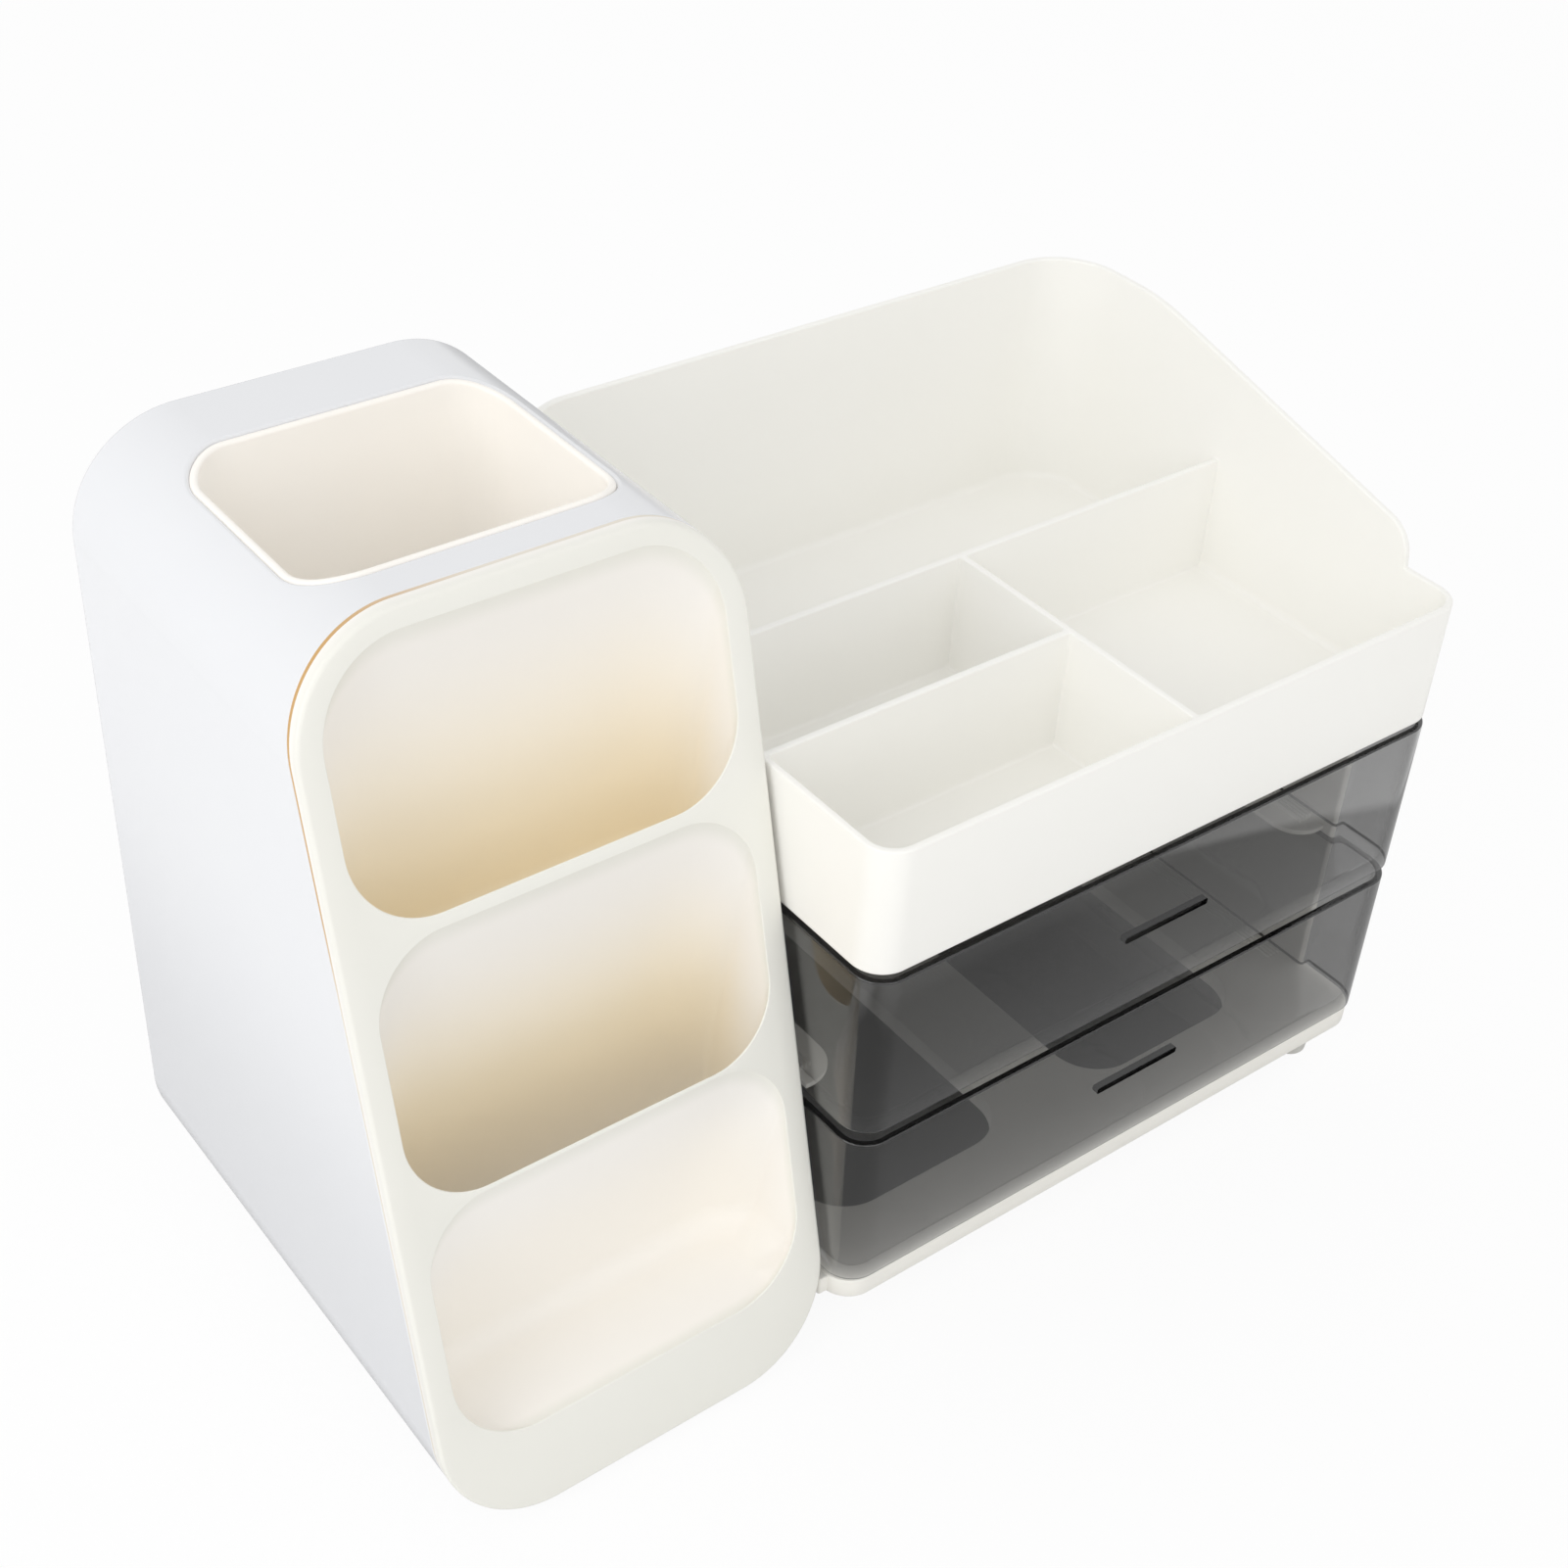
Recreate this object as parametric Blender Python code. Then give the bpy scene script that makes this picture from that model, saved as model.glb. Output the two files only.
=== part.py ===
"""Desktop makeup organizer: a two-drawer unit with a divided top tray, beside a holder tower.

Metres, +Z up. Every place is laid out from the drawer unit's front left corner on the ground,
with X to the right and Y to the back. The finished objects are shifted so that the origin is
the middle of the whole footprint, on the ground.
"""
import math

import bmesh
import bpy
from mathutils import Vector

# Clearances
SEAT_GAP = 0.0003
RUNNING_GAP = 0.0006
FRONT_GAP = 0.0015
CUT_OVERRUN = 0.004

# Drawer unit, outside
UNIT_WIDTH = 0.2000
UNIT_DEPTH = 0.1628
UNIT_FRONT_RADIUS = 0.0089
UNIT_BACK_RADIUS = 0.0200

# Feet under the unit
FOOT_HEIGHT = 0.01385
FOOT_RADIUS = 0.0065
FOOT_TIP_RADIUS = 0.0056
FOOT_INSET = 0.0127
FOOT_LEFT_INSET = 0.0155

# Base plate, its two windows and the lugs that hook into the tower
BASE_THICKNESS = 0.00635
BASE_WINDOW_LENGTH = 0.0652
BASE_WINDOW_FRONT_MARGIN = 0.0208
BASE_WINDOW_RADIUS = 0.0145
BASE_BRIDGE_WIDTH = 0.0292
BASE_EDGE_ROUND = 0.0006
LUG_LENGTH = 0.0148
LUG_WIDTH = 0.0220
LUG_FRONT = 0.0180
SHOULDER_LENGTH = 0.0024
SHOULDER_FRONT = 0.0065
BASE_DIMPLE_RADIUS = 0.0055
BASE_DIMPLE_DEPTH = 0.0012
BASE_DIMPLE_SHIFT = 0.0044

# Casing panels behind the wrapped drawer fronts
PANEL_THICKNESS = 0.0030
PANEL_SETBACK = 0.0222
PANEL_LEFT_SETBACK = 0.0475
CASING_HEIGHT = 0.1065

# Ledges that carry the upper drawer, and their glide ribs
LEDGE_WIDTH = 0.0150
LEDGE_THICKNESS = 0.0016
LEDGE_SETBACK = 0.0025
LEDGE_ROUND = 0.0095
RIB_COUNT = 4
RIB_WIDTH = 0.0008
RIB_PITCH = 0.0014
RIB_EDGE = 0.0006
BASE_RIB_HEIGHT = 0.0007
RIB_ROOT = 0.0010

# Drawers
DRAWER_HEIGHT = 0.0499
DRAWER_WALL = 0.0020
DRAWER_FLOOR = 0.0022
DRAWER_FRONT_PROUD = 0.0006
DRAWER_FRONT_WRAP = 0.0208
DRAWER_LEFT_WRAP = 0.0460
DRAWER_SIDE_MARGIN = 0.0034
DRAWER_NECK_RADIUS = 0.0010
DRAWER_BACK_RADIUS = 0.0166
DRAWER_BACK_GAP = 0.0025
DRAWER_SPACING = 0.0042
DRAWER_INNER_ROUND = 0.0030
SLOT_LENGTH = 0.0300
SLOT_HEIGHT = 0.0020
SLOT_DROP = 0.0256
SLOT_SHIFT = 0.0010

# Top tray
TRAY_GAP = 0.0019
TRAY_LOW_HEIGHT = 0.0372
TRAY_BACK_HEIGHT = 0.0746
TRAY_WALL = 0.0020
TRAY_FLOOR = 0.0020
TRAY_DIVIDER = 0.0020
TRAY_CROSS_DIVIDER_Y = 0.0919
TRAY_SHORT_DIVIDER_Y = 0.0487
TRAY_LONG_DIVIDER_X = 0.1010
TRAY_INNER_RADIUS = 0.0040
TRAY_FLOOR_ROUND = 0.0025
SIDE_STEP_Y = 0.0206
SIDE_STEP_RISE = 0.0102
SIDE_STEP_RADIUS = 0.0110
SIDE_FLAT_Y = 0.1235
LEFT_RISE_Y = 0.1050

# Holder tower, outside
TOWER_GAP = 0.0015
TOWER_WIDTH = 0.1135
TOWER_DEPTH = 0.1625
TOWER_HEIGHT = 0.2287
TOWER_RADIUS = 0.0285
TOWER_FRONT_Y = 0.0006
TOWER_SETBACK = 0.0587
SLEEVE_WALL = 0.0025
PAD_HEIGHT = 0.0016
PAD_RADIUS = 0.0060
PAD_FRONT_Y = 0.0220
PAD_BACK_MARGIN = 0.0175
PAD_INSET = 0.0340

# Front insert with its three pockets, sized on the slanted front
FLANGE_THICKNESS = 0.0031
FLANGE_SEAM = 0.0009
COLLAR_DEPTH = 0.0080
COLLAR_WALL = 0.0022
POCKET_SIDE_MARGIN = 0.0063
POCKET_WALL = 0.0015
POCKET_START = 0.0012
POCKET_BOTTOM_MARGIN = 0.0236
POCKET_TOP_MARGIN = 0.0051
POCKET_LOW_SHARE = 0.342711
POCKET_LOW_BRIDGE = 0.0011
POCKET_MID_SHARE = 0.333504
POCKET_HIGH_BRIDGE = 0.0034
POCKET_LOW_SLOPE = 0.23
POCKET_MID_SLOPE = 0.26
POCKET_HIGH_SLOPE = 0.30
POCKET_MID_DROP = 0.0486
POCKET_HIGH_DROP = 0.0292
POCKET_CUP_ROOM = 0.0013
POCKET_LOW_TOP_RADIUS = 0.0180
POCKET_LOW_BOTTOM_RADIUS = 0.0210
POCKET_MID_RADIUS = 0.0190
POCKET_HIGH_TOP_RADIUS = 0.0220
POCKET_HIGH_BOTTOM_RADIUS = 0.0200

# Rear cup that drops in through the tower's top
CUP_SIDE_MARGIN = 0.0155
CUP_FRONT_Y = 0.0731
CUP_BACK_MARGIN = 0.0228
CUP_RADIUS = 0.0140
CUP_WALL = 0.0020
CUP_FLOOR = 0.0025
CUP_DEPTH = 0.1100
CUP_INNER_ROUND = 0.0060

# How finely the rounds are divided
CORNER_STEPS = 8
TOWER_STEPS = 14
POCKET_STEPS = 10
POCKET_BENDS = 5
FILLET_STEPS = 4
FOOT_STEPS = 32

# Places that follow from the sizes above
BASE_BOTTOM = FOOT_HEIGHT + SEAT_GAP
BASE_TOP = BASE_BOTTOM + BASE_THICKNESS
LOWER_DRAWER_Z = BASE_TOP + BASE_RIB_HEIGHT + SEAT_GAP
UPPER_DRAWER_Z = LOWER_DRAWER_Z + DRAWER_HEIGHT + DRAWER_SPACING
TRAY_Z = UPPER_DRAWER_Z + DRAWER_HEIGHT + TRAY_GAP
CASING_BOTTOM = BASE_TOP + SEAT_GAP
CASING_TOP = TRAY_Z - SEAT_GAP
LEDGE_BOTTOM = LOWER_DRAWER_Z + DRAWER_HEIGHT + RUNNING_GAP
LEDGE_TOP = LEDGE_BOTTOM + LEDGE_THICKNESS
LOW_RIM_Z = TRAY_Z + TRAY_LOW_HEIGHT
BACK_RIM_Z = TRAY_Z + TRAY_BACK_HEIGHT
TOWER_RIGHT = -TOWER_GAP
TOWER_LEFT = TOWER_RIGHT - TOWER_WIDTH
TOWER_MIDDLE = (TOWER_LEFT + TOWER_RIGHT) / 2
TOWER_BOTTOM = PAD_HEIGHT + SEAT_GAP
TOWER_TOP = TOWER_BOTTOM + TOWER_HEIGHT
POCKET_FIELD = (TOWER_HEIGHT - POCKET_BOTTOM_MARGIN - POCKET_TOP_MARGIN - POCKET_LOW_BRIDGE
                - POCKET_HIGH_BRIDGE)
CUP_BACK_Y = TOWER_DEPTH - CUP_BACK_MARGIN
LEAN_RATIO = TOWER_SETBACK / TOWER_HEIGHT
ORIGIN = Vector(((UNIT_WIDTH + TOWER_LEFT) / 2, (UNIT_DEPTH - DRAWER_FRONT_PROUD) / 2, 0))

# Mesh corners count as one point within this share of the shape's size
TOUCH_SHARE = 1e-5


def clear_scene():
    for old in list(bpy.data.objects):
        bpy.data.objects.remove(old, do_unlink=True)
    for old in list(bpy.data.collections):
        bpy.data.collections.remove(old)


def new_collection(name):
    collection = bpy.data.collections.new(name)
    bpy.context.scene.collection.children.link(collection)
    return collection


def plastic(name, colour, roughness, alpha=1.0):
    """A Principled plastic; colour is linear RGB."""
    material = bpy.data.materials.new(name)
    material.use_nodes = True
    shader = material.node_tree.nodes["Principled BSDF"]
    shader.inputs["Base Color"].default_value = (*colour, 1.0)
    shader.inputs["Roughness"].default_value = roughness
    shader.inputs["Metallic"].default_value = 0.0
    shader.inputs["Alpha"].default_value = alpha
    material.diffuse_color = (*colour, alpha)
    return material


def warm_white_satin():
    return plastic("warm white satin ABS", (0.90, 0.88, 0.83), 0.42)


def cool_white_gloss():
    return plastic("cool white gloss ABS", (0.89, 0.90, 0.93), 0.18)


def cup_white():
    return plastic("ivory satin ABS", (0.88, 0.86, 0.80), 0.40)


def casing_white():
    return plastic("casing white ABS", (0.84, 0.83, 0.79), 0.45)


def smoke_clear():
    return plastic("smoke clear polystyrene", (0.06, 0.06, 0.06), 0.08, 0.55)


def grip_rubber():
    return plastic("pale grey rubber", (0.62, 0.62, 0.60), 0.75)


def to_object(shape, name, pivot, collection, material=None):
    """Makes an object of a bmesh laid out in unit places, with its origin at the pivot."""
    pivot = Vector(pivot)
    bmesh.ops.translate(shape, vec=-pivot, verts=shape.verts)
    bmesh.ops.recalc_face_normals(shape, faces=shape.faces)
    mesh = bpy.data.meshes.new(name)
    shape.to_mesh(mesh)
    shape.free()
    made = bpy.data.objects.new(name, mesh)
    made.location = pivot - ORIGIN
    collection.objects.link(made)
    if material is not None:
        mesh.materials.append(material)
        mesh.shade_smooth()
        mesh.set_sharp_from_angle(angle=math.radians(32))
    else:
        made.hide_render = True
        made.display_type = 'WIRE'
    return made


def ring_box(low, high, radii, steps, along='Z'):
    """A box with the four edges along one axis rounded.

    radii run low-low, high-low, high-high, low-high over the two cross axes:
    X and Y for a box along Z, X and Z for a box along Y.
    """
    cross = (0, 1) if along == 'Z' else (0, 2)
    low = Vector(low)
    high = Vector(high)
    size = high - low
    shape = bmesh.new()
    bmesh.ops.create_cube(shape, size=1.0)
    for vert in shape.verts:
        vert.co = [high[axis] if vert.co[axis] > 0 else low[axis] for axis in range(len(size))]
    corners = ((low, low), (high, low), (high, high), (low, high))
    touch = max(size) * TOUCH_SHARE
    for (end_a, end_b), radius in zip(corners, radii):
        if radius <= 0:
            continue
        place = (end_a[cross[0]], end_b[cross[1]])
        edges = [e for e in shape.edges if all(
            abs(v.co[cross[0]] - place[0]) < touch and abs(v.co[cross[1]] - place[1]) < touch
            for v in e.verts)]
        bmesh.ops.bevel(shape, geom=edges, offset=radius, segments=steps, profile=0.5,
                        affect='EDGES', clamp_overlap=False)
    return shape


def round_rim(shape, axis, place, radius, steps):
    """Rounds the loop of edges that lies at one place along an axis."""
    touch = radius * TOUCH_SHARE * 10
    edges = [e for e in shape.edges if all(abs(v.co[axis] - place) < touch for v in e.verts)]
    bmesh.ops.bevel(shape, geom=edges, offset=radius, segments=steps, profile=0.5,
                    affect='EDGES', clamp_overlap=False)


def boolean(target, tool, operation):
    modifier = target.modifiers.new(operation.lower() + " " + tool.name, 'BOOLEAN')
    modifier.operation = operation
    modifier.solver = 'EXACT'
    modifier.object = tool


def cut(target, *tools):
    for tool in tools:
        boolean(target, tool, 'DIFFERENCE')


def add(target, *tools):
    for tool in tools:
        boolean(target, tool, 'UNION')


def unit_radii():
    return (UNIT_FRONT_RADIUS, UNIT_FRONT_RADIUS, UNIT_BACK_RADIUS, UNIT_BACK_RADIUS)


def slant_y(z):
    """Where the tower's slanted front plane is at a height."""
    return TOWER_FRONT_Y + (z - TOWER_BOTTOM) * LEAN_RATIO


def filled_outline(outline, depth):
    """A closed outline as a filled 2D curve of a depth, made a mesh about its own plane."""
    curve = bpy.data.curves.new("outline", 'CURVE')
    curve.dimensions = '2D'
    curve.fill_mode = 'BOTH'
    curve.extrude = depth / 2
    spline = curve.splines.new('POLY')
    spline.points.add(len(outline) - 1)
    for point, (across, up) in zip(spline.points, outline):
        point.co = (across, up, 0, 1)
    spline.use_cyclic_u = True
    guide = bpy.data.objects.new("outline", curve)
    bpy.context.scene.collection.objects.link(guide)
    bpy.context.view_layer.update()
    graph = bpy.context.evaluated_depsgraph_get()
    mesh = bpy.data.meshes.new_from_object(guide.evaluated_get(graph))
    bpy.data.objects.remove(guide)
    shape = bmesh.new()
    shape.from_mesh(mesh)
    bpy.data.meshes.remove(mesh)
    bmesh.ops.remove_doubles(shape, verts=shape.verts, dist=depth * TOUCH_SHARE)
    bmesh.ops.dissolve_limit(shape, angle_limit=math.radians(1), verts=shape.verts,
                             edges=shape.edges)
    return shape


def side_outline_prism(outline, low_x, high_x):
    """A (Y, Z) outline run along X."""
    shape = filled_outline(outline, high_x - low_x)
    middle = (low_x + high_x) / 2
    for vert in shape.verts:
        vert.co = Vector((vert.co.z + middle, vert.co.x, vert.co.y))
    return shape


def plan_outline_prism(outline, low_z, high_z):
    """An (X, Y) outline run along Z."""
    shape = filled_outline(outline, high_z - low_z)
    bmesh.ops.translate(shape, vec=(0, 0, (low_z + high_z) / 2), verts=shape.verts)
    return shape


def arc(centre, radius, start, end, steps):
    """Points round a centre between two angles in degrees."""
    points = []
    for index in range(steps + 1):
        angle = math.radians(start + (end - start) * index / steps)
        points.append((centre[0] + radius * math.cos(angle), centre[1] + radius * math.sin(angle)))
    return points


def glide_ribs(side, low_z, high_z):
    """Thin ribs beside a casing wall, as separate bars; side is -1 for left and 1 for right."""
    bars = bmesh.new()
    front = PANEL_SETBACK + LEDGE_SETBACK + LEDGE_ROUND / 2
    back = UNIT_DEPTH - UNIT_BACK_RADIUS - SEAT_GAP
    for index in range(RIB_COUNT):
        edge = PANEL_THICKNESS + RIB_EDGE + index * RIB_PITCH
        if side < 0:
            low_x = edge
        else:
            low_x = UNIT_WIDTH - edge - RIB_WIDTH
        bar = ring_box((low_x, front, low_z), (low_x + RIB_WIDTH, back, high_z), (0, 0, 0, 0), 1)
        mesh = bpy.data.meshes.new("bar")
        bar.to_mesh(mesh)
        bar.free()
        bars.from_mesh(mesh)
        bpy.data.meshes.remove(mesh)
    return bars


def make_foot(name, x, y, height, top_radius, tip_radius, collection, material):
    shape = bmesh.new()
    bmesh.ops.create_cone(shape, cap_ends=True, segments=FOOT_STEPS, radius1=tip_radius,
                          radius2=top_radius, depth=height)
    bmesh.ops.translate(shape, vec=(x, y, height / 2), verts=shape.verts)
    return to_object(shape, name, (x, y, 0), collection, material)


def lug_fronts():
    return (LUG_FRONT, UNIT_DEPTH - LUG_FRONT - LUG_WIDTH)


def make_base_plate(parts, cutters):
    pivot = (UNIT_WIDTH / 2, UNIT_DEPTH / 2, BASE_BOTTOM)
    shape = ring_box((0, 0, BASE_BOTTOM), (UNIT_WIDTH, UNIT_DEPTH, BASE_TOP), unit_radii(),
                     CORNER_STEPS)
    plate = to_object(shape, "base_plate", pivot, parts, casing_white())
    for index, front in enumerate(lug_fronts()):
        lug = ring_box((-LUG_LENGTH, front, BASE_BOTTOM + BASE_EDGE_ROUND),
                       (UNIT_FRONT_RADIUS, front + LUG_WIDTH, BASE_TOP - BASE_EDGE_ROUND),
                       (0, 0, 0, 0), 1)
        add(plate, to_object(lug, f"lug {index}", pivot, cutters))
    shoulder = ring_box((-SHOULDER_LENGTH, SHOULDER_FRONT, BASE_BOTTOM + BASE_EDGE_ROUND / 2),
                        (UNIT_FRONT_RADIUS, UNIT_DEPTH / 2, BASE_TOP - BASE_EDGE_ROUND / 2),
                        (0, 0, 0, 0), 1)
    add(plate, to_object(shoulder, "lug shoulder", pivot, cutters))
    middle = (UNIT_WIDTH - LUG_LENGTH) / 2
    half = BASE_BRIDGE_WIDTH / 2
    for side, name in ((-1, "left"), (1, "right")):
        near = middle + side * half
        far = middle + side * (half + BASE_WINDOW_LENGTH)
        window = ring_box(
            (min(near, far), BASE_WINDOW_FRONT_MARGIN, BASE_BOTTOM - CUT_OVERRUN),
            (max(near, far), UNIT_DEPTH - BASE_WINDOW_FRONT_MARGIN, BASE_TOP + CUT_OVERRUN),
            [BASE_WINDOW_RADIUS] * 4, CORNER_STEPS)
        cut(plate, to_object(window, "base window " + name, pivot, cutters))
        ribs = glide_ribs(side, BASE_TOP - RIB_ROOT, BASE_TOP + BASE_RIB_HEIGHT)
        add(plate, to_object(ribs, "base ribs " + name, pivot, cutters))
    dimple = bmesh.new()
    bmesh.ops.create_cone(dimple, cap_ends=True, segments=FOOT_STEPS, radius1=BASE_DIMPLE_RADIUS,
                          radius2=BASE_DIMPLE_RADIUS, depth=BASE_DIMPLE_DEPTH * 2)
    spot = (middle + BASE_DIMPLE_SHIFT, UNIT_DEPTH / 2, BASE_TOP)
    bmesh.ops.translate(dimple, vec=spot, verts=dimple.verts)
    cut(plate, to_object(dimple, "base dimple", pivot, cutters))


def make_feet(parts):
    rubber = grip_rubber()
    places = {"front_left": (FOOT_LEFT_INSET, FOOT_LEFT_INSET),
              "front_right": (UNIT_WIDTH - FOOT_INSET, FOOT_INSET),
              "back_left": (FOOT_LEFT_INSET, UNIT_DEPTH - FOOT_LEFT_INSET),
              "back_right": (UNIT_WIDTH - FOOT_INSET, UNIT_DEPTH - FOOT_INSET)}
    for name, (x, y) in places.items():
        make_foot("unit_foot_" + name, x, y, FOOT_HEIGHT, FOOT_RADIUS, FOOT_TIP_RADIUS, parts,
                  rubber)
    for side, x in (("left", TOWER_LEFT + PAD_INSET), ("right", TOWER_RIGHT - PAD_INSET)):
        for end, y in (("front", PAD_FRONT_Y), ("back", TOWER_DEPTH - PAD_BACK_MARGIN)):
            make_foot(f"tower_pad_{end}_{side}", x, y, PAD_HEIGHT, PAD_RADIUS, PAD_RADIUS, parts,
                      rubber)


def make_casing(parts, cutters):
    """Side panels, each flat, and a back panel that carries both rounded back corners."""
    white = casing_white()
    seam = UNIT_DEPTH - UNIT_BACK_RADIUS
    pivot = (UNIT_WIDTH / 2, UNIT_DEPTH, CASING_BOTTOM)
    for name, low_x, front in (("side_panel_left", 0, PANEL_LEFT_SETBACK),
                               ("side_panel_right", UNIT_WIDTH - PANEL_THICKNESS, PANEL_SETBACK)):
        panel = ring_box((low_x, front, CASING_BOTTOM),
                         (low_x + PANEL_THICKNESS, seam - SEAT_GAP, CASING_TOP),
                         [PANEL_THICKNESS / 4, PANEL_THICKNESS / 4, 0, 0], 3)
        to_object(panel, name, (low_x, front, CASING_BOTTOM), parts, white)
    back = to_object(
        ring_box((0, 0, CASING_BOTTOM), (UNIT_WIDTH, UNIT_DEPTH, CASING_TOP), unit_radii(),
                 CORNER_STEPS),
        "back_panel", pivot, parts, white)
    inner_radius = UNIT_BACK_RADIUS - PANEL_THICKNESS
    hollow = ring_box(
        (PANEL_THICKNESS, -CUT_OVERRUN, CASING_BOTTOM - CUT_OVERRUN),
        (UNIT_WIDTH - PANEL_THICKNESS, UNIT_DEPTH - PANEL_THICKNESS, CASING_TOP + CUT_OVERRUN),
        (0, 0, inner_radius, inner_radius), CORNER_STEPS)
    front_waste = ring_box((-CUT_OVERRUN, -CUT_OVERRUN, CASING_BOTTOM - CUT_OVERRUN),
                           (UNIT_WIDTH + CUT_OVERRUN, seam, CASING_TOP + CUT_OVERRUN),
                           (0, 0, 0, 0), 1)
    cut(back, to_object(hollow, "casing hollow", pivot, cutters),
        to_object(front_waste, "casing front waste", pivot, cutters))


def make_ledges(parts, cutters):
    white = casing_white()
    front = PANEL_SETBACK + LEDGE_SETBACK
    back = UNIT_DEPTH - UNIT_BACK_RADIUS
    for name, side in (("runner_ledge_left", -1), ("runner_ledge_right", 1)):
        if side < 0:
            low_x = PANEL_THICKNESS + SEAT_GAP
            high_x = LEDGE_WIDTH
            radii = (0, LEDGE_ROUND, 0, 0)
        else:
            low_x = UNIT_WIDTH - LEDGE_WIDTH
            high_x = UNIT_WIDTH - PANEL_THICKNESS - SEAT_GAP
            radii = (LEDGE_ROUND, 0, 0, 0)
        pivot = (low_x, front, LEDGE_TOP)
        shelf = ring_box((low_x, front, LEDGE_BOTTOM), (high_x, back, LEDGE_TOP), radii,
                         CORNER_STEPS)
        ledge = to_object(shelf, name, pivot, parts, white)
        ribs = glide_ribs(side, LEDGE_TOP - RIB_ROOT, UPPER_DRAWER_Z - SEAT_GAP)
        add(ledge, to_object(ribs, name + " ribs", pivot, cutters))


def half_drawer(inset, wrap):
    """Half of the drawer's plan from the middle of the front to the back, drawn in by inset."""
    half = UNIT_WIDTH / 2 - inset
    front = -DRAWER_FRONT_PROUD + inset
    front_radius = UNIT_FRONT_RADIUS - inset
    neck = DRAWER_NECK_RADIUS + inset
    neck_x = UNIT_WIDTH / 2 - DRAWER_SIDE_MARGIN + DRAWER_NECK_RADIUS
    neck_y = wrap + DRAWER_NECK_RADIUS
    body = UNIT_WIDTH / 2 - DRAWER_SIDE_MARGIN - inset
    back = UNIT_DEPTH - PANEL_THICKNESS - DRAWER_BACK_GAP - inset
    back_radius = DRAWER_BACK_RADIUS - inset
    points = arc((half - front_radius, front + front_radius), front_radius, -90, 0, CORNER_STEPS)
    if half > neck_x:
        points.append((half, wrap - inset))
        start = -90
    else:
        start = -math.degrees(math.acos((half - neck_x) / neck))
    points += arc((neck_x, neck_y), neck, start, -180, FILLET_STEPS)
    points += arc((body - back_radius, back - back_radius), back_radius, 0, 90, CORNER_STEPS)
    return points


def drawer_outline(inset):
    """The drawer's plan, drawn in by inset: the front wraps further back on the left side."""
    right = half_drawer(inset, DRAWER_FRONT_WRAP)
    left = [(-x, y) for x, y in reversed(half_drawer(inset, DRAWER_LEFT_WRAP))]
    middle = UNIT_WIDTH / 2
    return [(middle + x, y) for x, y in right + left]


def make_drawer(name, low_z, parts, cutters):
    high_z = low_z + DRAWER_HEIGHT
    pivot = (UNIT_WIDTH / 2, UNIT_DEPTH / 2, low_z)
    shape = plan_outline_prism(drawer_outline(0), low_z, high_z)
    drawer = to_object(shape, name, pivot, parts, smoke_clear())
    floor = low_z + DRAWER_FLOOR
    hollow = plan_outline_prism(drawer_outline(DRAWER_WALL), floor, high_z + CUT_OVERRUN)
    round_rim(hollow, 2, floor, DRAWER_INNER_ROUND, FILLET_STEPS)
    cut(drawer, to_object(hollow, name + " hollow", pivot, cutters))
    middle = UNIT_WIDTH / 2 + SLOT_SHIFT
    slot_z = high_z - SLOT_DROP
    slot = ring_box((middle - SLOT_LENGTH / 2, -CUT_OVERRUN, slot_z - SLOT_HEIGHT / 2),
                    (middle + SLOT_LENGTH / 2, CUT_OVERRUN, slot_z + SLOT_HEIGHT / 2),
                    (0, 0, 0, 0), 1)
    cut(drawer, to_object(slot, name + " slot", pivot, cutters))


def right_profile():
    """The (Y, Z) outline of what is cut away above the right wall: a step, then a long slope."""
    top_z = BACK_RIM_Z + CUT_OVERRUN
    crest_z = LOW_RIM_Z + SIDE_STEP_RISE
    slope = (BACK_RIM_Z - crest_z) / (SIDE_FLAT_Y - SIDE_STEP_Y)
    turn = math.pi / 2 - math.atan(slope)
    reach = SIDE_STEP_RADIUS * math.tan(turn / 2)
    outline = [(-CUT_OVERRUN, top_z), (-CUT_OVERRUN, LOW_RIM_Z), (SIDE_STEP_Y, LOW_RIM_Z)]
    outline += arc((SIDE_STEP_Y + SIDE_STEP_RADIUS, crest_z - reach), SIDE_STEP_RADIUS, 180,
                   180 - math.degrees(turn), CORNER_STEPS)
    outline.append((SIDE_FLAT_Y + CUT_OVERRUN / slope, top_z))
    return outline


def left_profile():
    """The (Y, Z) outline of what is cut away above the left wall: low, then a hollow curve up."""
    outline = [(-CUT_OVERRUN, BACK_RIM_Z + CUT_OVERRUN), (-CUT_OVERRUN, LOW_RIM_Z)]
    rise = BACK_RIM_Z - LOW_RIM_Z
    outline += arc((LEFT_RISE_Y, BACK_RIM_Z), rise, -90, 0, CORNER_STEPS * 2)
    outline.append((LEFT_RISE_Y + rise, BACK_RIM_Z + CUT_OVERRUN))
    return outline


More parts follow.
